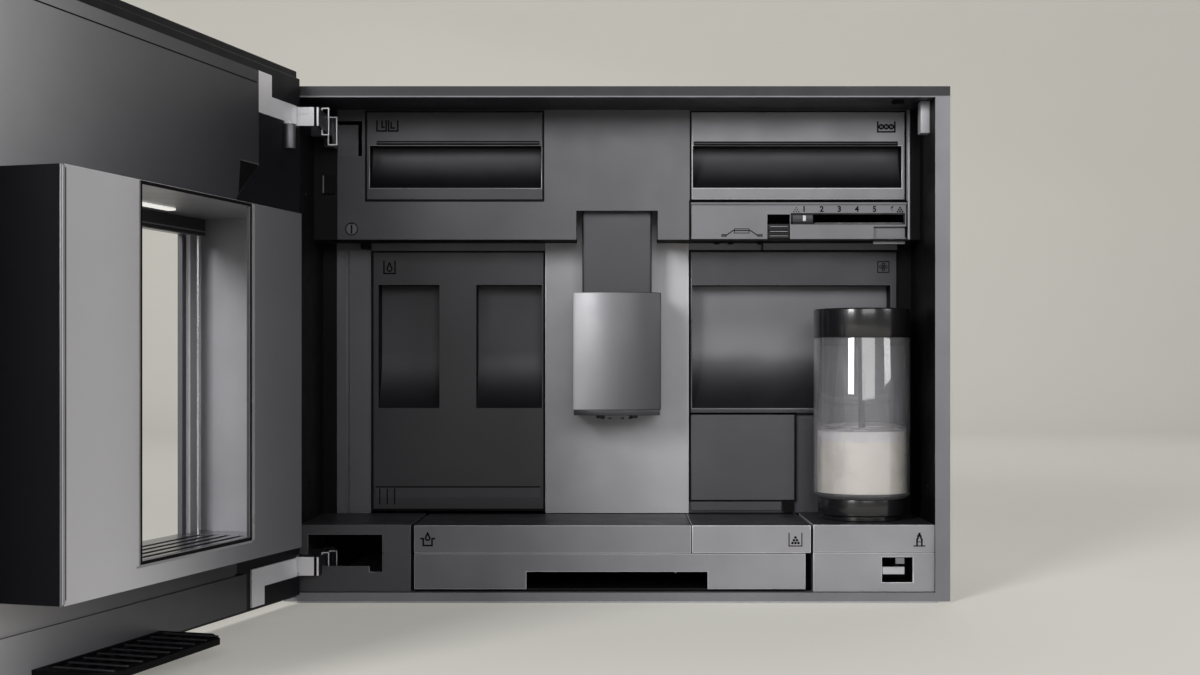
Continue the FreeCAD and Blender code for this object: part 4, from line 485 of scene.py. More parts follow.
@dataclass(frozen=True)
class Print:
    """Pad-printed or laser-marked symbol."""

    name: str
    level: float

    def make(self) -> Material:
        """Make the material.

        Returns:
            The material.
        """
        board = NodeBoard(self.name)
        board.tint(board.noise(200.0), shade(self.level * 0.97), shade(self.level * 1.03))
        board.polish(board.noise(300.0), 0.65, 0.75)
        board.relief(board.noise(3000.0), 0.05, 0.00003)
        board.give(Specular_IOR_Level=0.12)
        return board.material


# painted light and shade: storage_grey and bean_grey, tank_grey and cover_light, corner_dark and row_light
# are one grey plastic, darker on the left in the open door's shade and lighter on the right
PLAIN_LEVELS = {
    "frame_top": 27,
    "tank_grey": 41,
    "row_top": 50,
    "storage_grey": 51,
    "cover_light": 52,
    "flap_grey": 56,
    "rail_dark": 60,
    "corner_dark": 63,
    "side_panel": 66,
    "chute_grey": 73,
    "post_dark": 85,
    "strip_grey": 85,
    "strip_light": 112,
    "bean_grey": 117,
    "row_light": 142,
    "window_grey": 165,
    "port_light": 170,
}
# painted shade and highlight in the finger scoops: darker towards the bottom, lighter higher up (height in
# mm, display level)
SCOOP_PAINTED_LIGHT_STOPS = {
    "storage_scoop": ((364, 11), (380, 14), (389, 44), (397, 40), (407, 34)),
    "bean_scoop": ((364, 15), (378, 19), (388, 52), (397, 44), (407, 39)),
    "tank_scoop": ((170, 24), (190, 38), (222, 60), (258, 48), (280, 34)),
    "brew_scoop": ((170, 27), (193, 30), (211, 46), (224, 134), (250, 96), (280, 112)),
}
FINISHES = {
    **{name: MouldedPlastic(name, level) for name, level in PLAIN_LEVELS.items()},
    **{name: PaintedLightRamp(name, stops) for name, stops in SCOOP_PAINTED_LIGHT_STOPS.items()},
    "sheet_metal": SheetMetal("coated_sheet", 158, roughness=0.6, metal=0.4),
    "frame_metal": MouldedPlastic("frame_coating", 115, roughness=0.38, grain=0.06),
    "hinge_dark": MouldedPlastic("hinge_dark", 48, roughness=0.3, metal=0.5),
    "cup_steel": BrushedMetal("cup_steel", 120, Axis.Z, roughness=0.5, lines=0.02),
    # painted reflection: a light, mostly matt grey standing in for the brackets' bright steel reflections
    "bracket_steel": MouldedPlastic("bracket_steel", 222, roughness=0.34, grain=0.02, metal=0.25),
    "liner_black": MouldedPlastic("recess_black", 13, warmth=-1, roughness=0.5, gloss=0.12),
    "carrier_black": MouldedPlastic("carrier_black", 26, roughness=0.55),
    # painted light: fascia, column and tray get lighter towards the right, as the open door shades the left
    "fascia_grey": MouldedPlastic("fascia_grey", 83, painted_light_slope=1.25),
    "column_grey": MouldedPlastic("column_grey", 158, roughness=0.52, metal=0.12, painted_light_slope=1.4),
    "tray_grey": MouldedPlastic("tray_grey", 121, painted_light_slope=1.2),
    "panel_dark": MouldedPlastic("setting_panel", 109),
    "knob_grey": MouldedPlastic("knob_grey", 40, roughness=0.35),
    "clear_grey": ClearPlastic("smoky_clear", 130),
    "clear_tank": ClearPlastic("tank_clear", 180),
    "module_black": MouldedPlastic("module_black", 30, roughness=0.55),
    "module_grey": MouldedPlastic("module_grey", 120, roughness=0.5),
    "motor_metal": SheetMetal("motor_can", 150, roughness=0.35),
    "heater_metal": BrushedMetal("heater_casting", 175, Axis.Y, roughness=0.45),
    "burr_steel": BrushedMetal("burr_steel", 165, Axis.Z),
    "hose": MouldedPlastic("hose_clear", 190, roughness=0.5),
    # painted highlight: the outlet head is lighter at its left side and darker towards the right
    "outlet_grey": PaintedLightRamp(
        "outlet_grey",
        ((-40, 226), (-22, 150), (0, 100), (20, 84), (40, 70)),
        Axis.X,
        roughness=0.44,
        metal=0.35,
    ),
    "jug_glass": JugGlass("jug_glass"),
    "milk_white": Milk("milk", 249, 22),
    "jug_lid": GlossPlastic("jug_lid", 24, roughness=0.2, coat=0.3),
    # painted reflection: a light, mostly matt grey standing in for the hinges' bright chrome reflections
    "chrome": MouldedPlastic("hinge_chrome", 240, roughness=0.3, grain=0.02, spotted=0.02, metal=0.3),
    "door_glass": GlossPlastic("door_glass", 12, roughness=0.06, coat=1.0),
    "frame_dark": MouldedPlastic("door_edge", 20, roughness=0.5, gloss=0.2),
    "trim_steel": BrushedMetal("trim_steel", 190, Axis.Z),
    # painted light: the door's inner panel is lighter towards the door's free end and darker towards the
    # hinge
    "inner_panel": PaintedLightRamp(
        "inner_panel",
        ((-575, 250), (-480, 240), (-330, 122), (-180, 72), (-80, 54)),
        Axis.Y,
        roughness=0.34,
        metal=0.35,
    ),
    "niche_grey": MouldedPlastic("niche_grey", 98, roughness=0.36),
    "niche_side": MouldedPlastic("niche_side", 9, roughness=0.5, metal=0.0, gloss=0.05),
    # painted reflection: the niche's rear wall is lighter away from the hinge
    "niche_wall": PaintedLightRamp(
        "niche_wall",
        ((-452, 196), (-385, 216), (-315, 150), (-250, 106), (-150, 86)),
        Axis.Y,
        roughness=0.38,
    ),
    "grate_steel": BrushedMetal("grate_steel", 150, Axis.X),
    "lamp_white": Lamp("lamp_cover"),
    "gap_black": MouldedPlastic("gap_black", 7, warmth=-1, roughness=0.6, metal=0.0, gloss=0.1),
    "screw_grey": MouldedPlastic("screw_grey", 84, roughness=0.3),
    # painted highlight: light lines along edges and ribs
    "bead_light": MouldedPlastic("bead_light", 150, roughness=0.3),
    "latch_black": MouldedPlastic("latch_black", 8, roughness=0.3, metal=0.0, gloss=0.2),
    # painted reflection: a matt white that stands in for the light a chrome frame reflects
    "frame_white": MouldedPlastic("frame_white", 245, roughness=0.25, metal=0.0),
    "window_chrome": MouldedPlastic("window_chrome", 240, roughness=0.22, grain=0.02, metal=0.8),
    "milk_foam": Milk("milk_foam", 242, 8),
    "neck_grey": MouldedPlastic("neck_grey", 60, roughness=0.34),
    "niche_inside": MouldedPlastic("niche_inside", 140, roughness=0.36),
    "print_white": Print("print_white", 205),
    "print_dark": Print("print_dark", 3),
}
MATERIALS: dict[str, Material] = {}
# painted highlight on rounded edges: a lighter and smoother copy of a finish
EDGE = "_edge"
EDGE_LIGHT = 1.35
EDGE_LEAST = 22
EDGE_MOST = 230
EDGE_ROUGHNESS = 0.3


def finish(name: str) -> Material:
    """The material of a finish, made when it is first asked for.

    Args:
        name: the finish's name, with the edge's ending for its lighter and smoother edge, a painted
            highlight along rounded edges.

    Returns:
        The material.
    """
    if name not in MATERIALS:
        base = FINISHES[name.removesuffix(EDGE)]
        if name.endswith(EDGE):
            level = min(base.level * EDGE_LIGHT + EDGE_LEAST, EDGE_MOST)
            base = replace(base, name=base.name + EDGE, level=level, roughness=EDGE_ROUGHNESS, painted_light_slope=0.0)
        MATERIALS[name] = base.make()
    return MATERIALS[name]


# ---------------------------------------------------------------- placing and meshes


@dataclass(frozen=True)
class DoorSwing:
    """How far the door stands open about its hinge axis, in millimetres and degrees."""

    axis_x: float = -283.1
    axis_y: float = -16.75
    open_angle: float = -105.6

    def matrix(self) -> Matrix:
        """The turn from the closed door to the open one.

        Returns:
            The matrix, in metres.
        """
        pivot = Vector((self.axis_x, self.axis_y, 0)) * MM
        turn = Matrix.Rotation(math.radians(self.open_angle), 4, "Z")
        return Matrix.Translation(pivot) @ turn @ Matrix.Translation(-pivot)


SWING = DoorSwing()
BODY_OF = {
    node: body
    for body, nodes in frame["record"]["behaviour"]["bodies"].items()
    for node in nodes
}
SLOT_OF = {part["node"]: part["material_slot"] for part in frame["record"]["subparts"]}


def show(name: str, data: bpy.types.ID) -> Item:
    """Put data in the scene as a new object.

    Args:
        name: the object's name.
        data: its mesh, curve, light or camera.

    Returns:
        The object.
    """
    item = bpy.data.objects.new(name, data)
    bpy.context.scene.collection.objects.link(item)
    return item


class Workpiece:
    """A mesh in the making, in millimetres, that ends as one finished object."""

    short_edge = 1.0
    facet_width = 12.0
    least_turn = math.radians(0.5)
    most_turn = math.radians(25)
    sharp_turn = math.radians(30)
    smooth_turn = math.radians(50)
    flat_turn = math.radians(0.2)
    weld = 0.001
    node_weld = 0.002
    bevel_share = 1.2

    def __init__(self) -> None:
        """Start with an empty mesh."""
        self.mesh = bmesh.new()
        self.settled = False
        self.looks: list[str] = []
        self.edge_faces: list[Face] = []

    def box(self, low: Point, high: Point) -> list[Vert]:
        """Add a box between two corners.

        Args:
            low: lowest corner.
            high: highest corner.

        Returns:
            Its vertices.
        """
        low, high = Vector(low), Vector(high)
        place = Matrix.Translation((low + high) / 2) @ Matrix.Diagonal((*(high - low), 1))
        return bmesh.ops.create_cube(self.mesh, size=1, matrix=place)["verts"]

    def boxes(self, spans: Iterable[Span], edge: float = 0.0) -> "Workpiece":
        """Add boxes, each between two corners.

        Args:
            spans: the corners of each box, lowest first.
            edge: how wide their edges are rounded, if at all.

        Returns:
            The workpiece itself.
        """
        for low, high in spans:
            self.box(low, high)
        if edge:
            self.soften(edge)
        return self

    def rod(
        self,
        start: Point,
        axis: Axis,
        length: float,
        radius: float,
        end_radius: float | None = None,
        sides: int = 32,
    ) -> list[Vert]:
        """Add a rod or a cone.

        Args:
            start: middle of the first end.
            axis: direction it runs in.
            length: how long it is.
            radius: radius of the first end.
            end_radius: radius of the other end, the same when left out.
            sides: faces around it.

        Returns:
            Its vertices.
        """
        turn = axis.value.to_track_quat("Z", "Y").to_matrix().to_4x4()
        place = Matrix.Translation(Vector(start) + axis.value * (length / 2)) @ turn
        return bmesh.ops.create_cone(
            self.mesh,
            cap_ends=True,
            segments=sides,
            radius1=radius,
            radius2=radius if end_radius is None else end_radius,
            depth=length,
            matrix=place,
        )["verts"]

    def plate(self, corners: Iterable[Point], push: Point) -> list[Vert]:
        """Add a flat outline pushed out to a plate.

        Args:
            corners: the outline's corners in order.
            push: the way and how far it is extruded.

        Returns:
            The plate's vertices.
        """
        ring = [self.mesh.verts.new(corner) for corner in corners]
        return ring + self.thicken([self.mesh.faces.new(ring)], push)

    def thicken(self, faces: Sequence[Face], push: Point) -> list[Vert]:
        """Push a copy of some faces out and close the sides between them.

        Args:
            faces: the faces, which stay as the first side.
            push: the way and how far the copy goes.

        Returns:
            The copy's vertices.
        """
        grown = bmesh.ops.extrude_face_region(self.mesh, geom=list(faces), use_keep_orig=True)
        moved = [item for item in grown["geom"] if isinstance(item, Vert)]
        bmesh.ops.translate(self.mesh, verts=moved, vec=push)
        skin = {face for vert in moved for face in vert.link_faces}.union(faces)
        bmesh.ops.recalc_face_normals(self.mesh, faces=list(skin))
        self.order_faces()
        return moved

    def order_faces(self) -> None:
        """Number the faces by their place, because an extrusion adds them in no fixed order."""
        in_order = sorted(self.mesh.faces, key=lambda face: face.calc_center_median()[:])
        for count, face in enumerate(in_order):
            face.index = count
        self.mesh.faces.sort()

    def border(self, low: Flat, high: Flat, plane: float, deep: float, width: float) -> None:
        """Add a rectangular ring that faces the front.

        Args:
            low: lower left outer corner, across and up.
            high: upper right outer corner, across and up.
            plane: depth of its near face.
            deep: depth of its far face.
            width: how wide its bars are.
        """
        flat = ((low[0], low[1]), (high[0], low[1]), (high[0], high[1]), (low[0], high[1]))
        inner = self.mesh.faces.new([self.mesh.verts.new((x, plane, z)) for x, z in flat])
        inner.normal_update()
        bars = bmesh.ops.inset_region(
            self.mesh,
            faces=[inner],
            thickness=width,
            use_boundary=True,
            use_even_offset=True,
        )["faces"]
        bmesh.ops.delete(self.mesh, geom=[inner], context="FACES_ONLY")
        self.thicken(bars, (0, deep - plane, 0))

    def stroke(self, start: Flat, end: Flat, plane: float, width: float = 0.8) -> None:
        """Add a straight printed line that faces the front.

        Args:
            start: first end, across and up.
            end: other end.
            plane: depth of the surface that it is printed on.
            width: line width.
        """
        first, last = Vector(start), Vector(end)
        along = (last - first).normalized() * width / 2
        side = Vector((-along.y, along.x))
        flat = (first - along - side, last + along - side, last + along + side, first - along + side)
        corners = [(x, plane + PRINT_SINK, z) for x, z in flat]
        self.plate(corners, (0, -PRINT_SINK - PRINT_PROUD, 0))

    def path(self, points: Sequence[Flat], plane: float, width: float = 0.8) -> None:
        """Add printed lines from point to point.

        Args:
            points: ends and corners, across and up.
            plane: depth of the surface.
            width: line width.
        """
        for start, end in zip(points, points[1:]):
            self.stroke(start, end, plane, width)

    def arc(
        self,
        middle: Flat,
        radius: float,
        plane: float,
        width: float = 0.8,
        first: float = 0.0,
        last: float = 360.0,
    ) -> None:
        """Add a curved printed line that faces the front.

        Args:
            middle: centre, across and up.
            radius: radius of the line's middle.
            plane: depth of the surface.
            width: line width.
            first: angle in degrees where it starts.
            last: angle where it ends, counterclockwise.
        """
        before = set(self.mesh.faces)
        angle = math.radians(first)
        ray = Vector((math.cos(angle), 0, math.sin(angle)))
        centre = Vector((middle[0], plane + PRINT_SINK, middle[1]))
        line = [self.mesh.verts.new(centre + ray * (radius + push)) for push in (-width / 2, width / 2)]
        bmesh.ops.spin(
            self.mesh,
            geom=[*line, self.mesh.edges.new(line)],
            cent=centre,
            axis=(0, -1, 0),
            angle=math.radians(last - first),
            steps=max(6, round((last - first) / 15)),
            use_merge=last - first >= 360,
        )
        drawn = [face for face in self.mesh.faces if face not in before]
        self.thicken(drawn, (0, -PRINT_SINK - PRINT_PROUD, 0))

    def dot(self, middle: Flat, radius: float, plane: float) -> None:
        """Add a printed dot."""
        start = (middle[0], plane - PRINT_PROUD, middle[1])
        self.rod(start, Axis.Y, PRINT_SINK + PRINT_PROUD, radius, sides=16)

    def turned(self, profile: Iterable[Flat], middle: Flat, steps: int = 64) -> None:
        """Add a shape turned about a vertical axis.

        Args:
            profile: (radius, height) points of an open line.
            middle: the axis across and deep.
            steps: faces around it.
        """
        line = [self.mesh.verts.new((middle[0] + r, middle[1], z)) for r, z in profile]
        edges = [self.mesh.edges.new(pair) for pair in zip(line, line[1:])]
        bmesh.ops.spin(
            self.mesh,
            geom=[*line, *edges],
            cent=(*middle, 0),
            axis=(0, 0, 1),
            angle=math.tau,
            steps=steps,
            use_merge=True,
        )
        self.close()

    def close(self) -> None:
        """Merge doubles and point every face outwards."""
        bmesh.ops.remove_doubles(self.mesh, verts=self.mesh.verts, dist=self.weld)
        bmesh.ops.recalc_face_normals(self.mesh, faces=self.mesh.faces)

    def settle(self) -> None:
        """Let the narrow faces of curves look smooth and every wide flat face flat."""
        for face in self.mesh.faces:
            long_edges = [edge for edge in face.edges if edge.calc_length() > self.short_edge]
            turns = [edge.calc_face_angle(0.0) for edge in long_edges if edge.is_manifold]
            longest = max(edge.calc_length() for edge in face.edges)
            narrow = face.calc_area() < longest * self.facet_width
            curved = any(self.least_turn < turn < self.most_turn for turn in turns)
            face.smooth = narrow and curved
        self.settled = True

    def soften(self, width: float, segments: int = 2) -> None:
        """Round every sharp outward edge.

        Args:
            width: bevel width.
            segments: faces across the bevel.
        """
        self.settle()
        sharp = [
            edge
            for edge in self.mesh.edges
            if edge.is_manifold and edge.is_convex and edge.calc_face_angle(0) > self.sharp_turn
        ]
        rounded = bmesh.ops.bevel(
            self.mesh,
            geom=sharp,
            offset=width,
            offset_type="OFFSET",
            segments=segments,
            profile=0.5,
            affect="EDGES",
            clamp_overlap=True,
            material=-1,
        )
        self.edge_faces = []
        for face in rounded["faces"]:
            longest = max(edge.calc_length() for edge in face.edges)
            if face.calc_area() < longest * width * self.bevel_share:
                face.smooth = True
                self.edge_faces.append(face)

    def divide(self, axis: Axis, at: float) -> None:
        """Cut every face by a plane across an axis.

        Args:
            axis: the direction that the plane is square to.
            at: where it crosses the axis.
        """
        bmesh.ops.bisect_plane(
            self.mesh,
            geom=[*self.mesh.verts, *self.mesh.edges, *self.mesh.faces],
            plane_co=axis.value * at,
            plane_no=axis.value,
        )

    def paint(self, look: str, chosen: Callable[[Face], bool]) -> None:
        """Give some faces another finish.

        Args:
            look: the finish's name.
            chosen: says whether a face gets it.
        """
        self.looks.append(look)
        for face in self.mesh.faces:
            if chosen(face):
                face.material_index = len(self.looks)

    def take(self, node: str, setting: Setting = Setting.FIXED) -> None:
        """Copy a CAD node's mesh, merged and with its flat faces whole.

        Args:
            node: the node's name.
            setting: whether it comes back to the closed door to be worked on.
        """
        self.mesh.from_mesh(frame["nodes"][node].data)
        if setting is Setting.ON_DOOR:
            closed = SWING.matrix().inverted()
            bmesh.ops.transform(self.mesh, matrix=closed, verts=self.mesh.verts)
        bmesh.ops.scale(self.mesh, vec=(1 / MM,) * 3, verts=self.mesh.verts)
        bmesh.ops.remove_doubles(self.mesh, verts=self.mesh.verts, dist=self.node_weld)
        self.mesh.normal_update()
        bmesh.ops.dissolve_limit(
            self.mesh,
            angle_limit=self.flat_turn,
            verts=self.mesh.verts,
            edges=self.mesh.edges,
        )

    def placed(
        self,
        name: str,
        body: str,
        look: str,
        slot: str,
        setting: Setting = Setting.FIXED,
    ) -> Item:
        """Finish the mesh as an object.

        Args:
            name: the object's name.
            body: the body it rides on.
            look: the finish's name.
            slot: the record's material slot; not used.
            setting: whether it was modelled on the closed door.

        Returns:
            The object.
        """
        bmesh.ops.scale(self.mesh, vec=(MM,) * 3, verts=self.mesh.verts)
        if setting is Setting.ON_DOOR:
            bmesh.ops.transform(self.mesh, matrix=SWING.matrix(), verts=self.mesh.verts)
        if not self.settled:
            self.settle()
        for edge in self.mesh.edges:
            edge.smooth = edge.calc_face_angle(0.0) < self.smooth_turn
        data = bpy.data.meshes.new(name)
        self.mesh.to_mesh(data)
        self.mesh.free()
        imported = data.attributes.get("custom_normal")
        if imported:
            data.attributes.remove(imported)
        item = show(name, data)
        for shown in (look, *self.looks):
            data.materials.append(finish(shown))
        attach(item, body)
        LOG.info("%s: %d faces, rides on %s", name, len(data.polygons), body)
        return item


@dataclass(frozen=True)
class Coat:
    """A second finish on some faces of a piece."""

    look: str
    chosen: Callable[[Face], bool]


LEVEL = 0.8
RIM_LEAN = 0.3
RIM_START = 0.75


def rim(front: float) -> Coat:
    """Black painted shade for the faces that run back from a front, as seen in its gap.

    Args:
        front: depth of the front plane.

    Returns:
        The coat.
    """

    def chosen(face: Face) -> bool:
        """Whether a face runs back from the front."""
        return abs(face.normal.y) < RIM_LEAN and face.calc_center_median().y > front + RIM_START

    return Coat("gap_black", chosen)


def inside(look: str, low: Point, high: Point) -> Coat:
    """A finish for the faces whose middle is inside a box.

    Args:
        look: the finish's name.
        low: lowest corner.
        high: highest corner.

    Returns:
        The coat.
    """

    def chosen(face: Face) -> bool:
        """Whether a face's middle is inside the box."""
        middle = face.calc_center_median()
        return all(low[i] < middle[i] < high[i] for i in range(3))

    return Coat(look, chosen)


def upward(look: str) -> Coat:
    """A finish for the faces that look up, used for painted shade on tops."""
    return Coat(look, lambda face: face.normal.z > LEVEL)


@dataclass
class Moulding:
    """A CAD node dressed as it is made: the same shape with rounded edges."""

    node: str
    look: str = ""
    edge: float = 0.6
    segments: int = 2
    coats: tuple[Coat, ...] = ()
    setting: Setting = Setting.FIXED
    # painted highlight along the rounded edges when set
    worn: bool = False
    cuts: tuple[tuple[Axis, float], ...] = ()

    def dress(self) -> Item:
        """Make the rounded piece, which then stands for the node.

        Returns:
            Its object.
        """
        piece = Workpiece()
        piece.take(self.node, self.setting)
        for axis, at in self.cuts:
            piece.divide(axis, at)
        if self.edge:
            piece.soften(self.edge, self.segments)
        for coat in self.coats:
            piece.paint(coat.look, coat.chosen)
        slot = SLOT_OF[self.node]
        look = self.look or slot
        # painted highlight: the rounded edges get the lighter edge finish
        if self.worn:
            piece.mesh.faces.index_update()
            handled = {face.index for face in piece.edge_faces}
            piece.paint(look + EDGE, lambda face: face.index in handled and not face.material_index)
        item = piece.placed(self.node + "_dressed", BODY_OF[self.node], look, slot, self.setting)
        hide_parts(self.node)
        return item


@dataclass(frozen=True)
class Bar:
    """A small rounded bar or plate between two corners."""

    name: str
    body: str
    look: str
    slot: str
    low: Point
    high: Point
    edge: float = 0.3
    setting: Setting = Setting.FIXED

    def build(self) -> Item:
        """Make the bar."""
        piece = Workpiece().boxes([(self.low, self.high)], self.edge)
        return piece.placed(self.name, self.body, self.look, self.slot, self.setting)


@dataclass
class BareNode:
    """A CAD node that keeps its own mesh and gets its finish."""

    node: str
    look: str = ""

    def dress(self) -> None:
        """Give the node's object its material."""
        item = frame["nodes"][self.node]
        item.data.materials.clear()
        item.data.materials.append(finish(self.look or SLOT_OF[self.node]))


# ---------------------------------------------------------------- sub-assemblies

FASCIA = 62.0
COVERS = 103.0
ROW = 1.5


@dataclass
class Housing:
    """Sheet housing, frame and recess lining."""

    sheets: tuple[str, ...] = ("housing_shell", "rear_panel", "base_plate")
    frame_shade: float = 441.3
    rear_x: float = 270.0
    rear_face: float = 356.0
    rear_rows: tuple[float, ...] = (12.0, 120.0, 228.0, 336.0, 433.0)
    rear_columns: tuple[float, ...] = (-180.0, -60.0, 60.0, 180.0)
    screw_radius: float = 4.4
    screw_sink: float = 0.5
    screw_length: float = 1.9
    screw_taper: float = 0.6
    bars: tuple[Bar, ...] = (
        Bar("ceiling_catch", "cabinet", "print_dark", "liner_black", (243, 14, 437.6), (253, 20, 440.4)),
        Bar("wall_notch", "cabinet", "gap_black", "liner_black", (-268.2, 60, 363.4), (-257.8, 66, 380.6)),
        Bar("wall_flap", "cabinet", "strip_grey", "liner_black", (-268.6, 59.6, 364), (-267.4, 64, 380)),
    )

    def build(self) -> None:
        """Dress the sheets, the frame and the lining, and add the small parts on them."""
        for node in self.sheets:
            BareNode(node).dress()
        # painted shade: the frame's strip above the opening is dark, as the shade under the cabinet's top
        above = Coat("frame_top", lambda face: face.calc_center_median().z > self.frame_shade)
        cut = (Axis.Z, self.frame_shade)
        Moulding("front_frame", worn=True, edge=0.4, cuts=(cut,), coats=(above,)).dress()
        # painted light: the recess ceiling, which faces down, is a lighter grey than the black lining
        ceiling = Coat("frame_top", lambda face: face.normal.z < -LEVEL)
        Moulding("recess_liner", edge=0.3, segments=1, coats=(ceiling,)).dress()
        BareNode("inner_carrier").dress()
        BareNode("mains_inlet").dress()
        for bar in self.bars:
            bar.build()
        self.build_rear_screws()

    def build_rear_screws(self) -> None:
        """Domed screws around the rear panel."""
        piece = Workpiece()
        sides = [(x, z) for x in (-self.rear_x, self.rear_x) for z in self.rear_rows]
        ends = [(x, z) for z in (self.rear_rows[0], self.rear_rows[-1]) for x in self.rear_columns]
        for x, z in sides + ends:
            start = (x, self.rear_face - self.screw_sink, z)
            top = self.screw_radius * self.screw_taper
            piece.rod(start, Axis.Y, self.screw_length, self.screw_radius, top, sides=20)
        piece.placed("rear_screws", "cabinet", "post_dark", "sheet_metal")


@dataclass
class Fronts:
    """Fixed fronts of the recess."""

    nubs: tuple[float, ...] = (91.0, 104.0, 131.5)
    gap_width: float = 1.7
    gaps: tuple[tuple[tuple[Flat, Flat], float], ...] = (
        (((-228.6, 358.0), (-68.1, 438.1)), FASCIA),
        (((68.1, 358.0), (262.8, 438.1)), FASCIA),
        (((67.5, 322.3), (264.8, 355.8)), FASCIA),
        (((-229.2, 72.0), (-69.5, 313.0)), COVERS),
        (((69.5, 162.0), (263.2, 313.9)), COVERS),
        (((69.5, 80.2), (167.4, 160.8)), COVERS),
    )
    gap_depth: float = 1.5
    brew_pocket: Span = ((70.9, 103.8, 166.4), (257.5, 132, 282.1))
    # painted light: the strips under the ledge are lightened against the ledge's shade
    right_strip: Span = ((60, 70, 314), (270, 110, 321.5))
    left_strip: Span = ((-270, 70, 314), (-60, 110, 321.5))
    bars: tuple[Bar, ...] = (
        Bar("hinge_flap", "cabinet", "flap_grey", "fascia_grey", (-255.6, 64, 398), (-236.6, 66, 427)),
        # painted highlight: thin light lines along the left post's edges
        Bar(
            "post_bead", "cabinet", "strip_grey", "cover_dark",
            (-254.3, 102.5, 68), (-253.2, 103.4, 314.8),
        ),
        Bar(
            "post_edge", "cabinet", "strip_grey", "cover_dark",
            (-232.6, 102.5, 68), (-231.7, 103.4, 314.8),
        ),
        Bar("fascia_bead", "cabinet", "bead_light", "fascia_grey", (265.6, 61.4, 322), (267.6, 62.4, 436)),
        Bar("strip_seam", "cabinet", "gap_black", "fascia_grey", (136.2, 97, 315), (136.9, 104, 321.8), 0),
        Bar("chute_notch", "cabinet", "gap_black", "cover_light", (156.2, 102.4, 69), (166.8, 103.6, 80)),
        Bar("port_stem", "cabinet", "strip_light", "port_light", (243.3, 3.4, 33.4), (251, 6, 38.9)),
        Bar("port_block", "cabinet", "port_light", "port_light", (231.6, 3.0, 24.4), (251, 6, 30.8)),
    )

    def build(self) -> None:
        """Dress the fascia, column, posts, covers and the corner and milk housings."""
        Moulding("upper_fascia", worn=True, coats=self.fascia_coats()).dress()
        Moulding("centre_column", worn=True, look="column_grey", edge=0.8).dress()
        Moulding("left_post", worn=True, look="post_dark").dress()
        Moulding("lower_right_panel", look="side_panel", edge=0.4).dress()
        Moulding("chute_cover", worn=True, edge=0.5, look="chute_grey", coats=(rim(COVERS),)).dress()
        # painted shade on the tops of the corner cover and milk bay
        Moulding("corner_cover", worn=True, look="corner_dark", coats=(upward("row_top"),)).dress()
        Moulding("milk_bay_housing", worn=True, look="row_light", coats=(upward("row_top"),)).dress()
        Moulding("milk_port", look="gap_black", edge=0.3).dress()
        # the brew cover's scoop gets painted shade and highlight
        pocket = inside("brew_scoop", *self.brew_pocket)
        Moulding("brew_cover", worn=True, coats=(rim(COVERS), pocket)).dress()
        Moulding("door_catch", look="port_light", edge=0.4).dress()
        for bar in self.bars:
            bar.build()
        self.build_nubs()
        self.build_gaps()

    def fascia_coats(self) -> tuple[Coat, ...]:
        """Black window edges as painted shade in the gaps, and painted light on the strips under the ledge
        that lifts them out of its shade: light at the right and grey at the left.

        Returns:
            The fascia's coats.
        """
        return (
            rim(FASCIA),
            inside("strip_light", *self.right_strip),
            inside("strip_grey", *self.left_strip),
        )

    def build_gaps(self) -> None:
        """Black strips in the gaps around the drawers, panel, tank and covers, as painted shade that keeps
        the gaps dark.
        """
        piece = Workpiece()
        for (low, high), plane in self.gaps:
            wide = self.gap_width
            low, high = (low[0] - wide, low[1] - wide), (high[0] + wide, high[1] + wide)
            piece.border(low, high, plane - PRINT_SINK, plane + self.gap_depth, wide)
        piece.placed("gap_lining", "cabinet", "gap_black", "liner_black")

    def build_nubs(self) -> None:
        """Small dark catches that hang under the ledge."""
        catches = [((x, 96, 320.4), (x + 5, 99.5, 322)) for x in self.nubs]
        catches.append(((-239.5, 92, 316), (-231, 102.5, 322)))
        Workpiece().boxes(catches, 0.4).placed("ledge_catches", "cabinet", "gap_black", "fascia_grey")


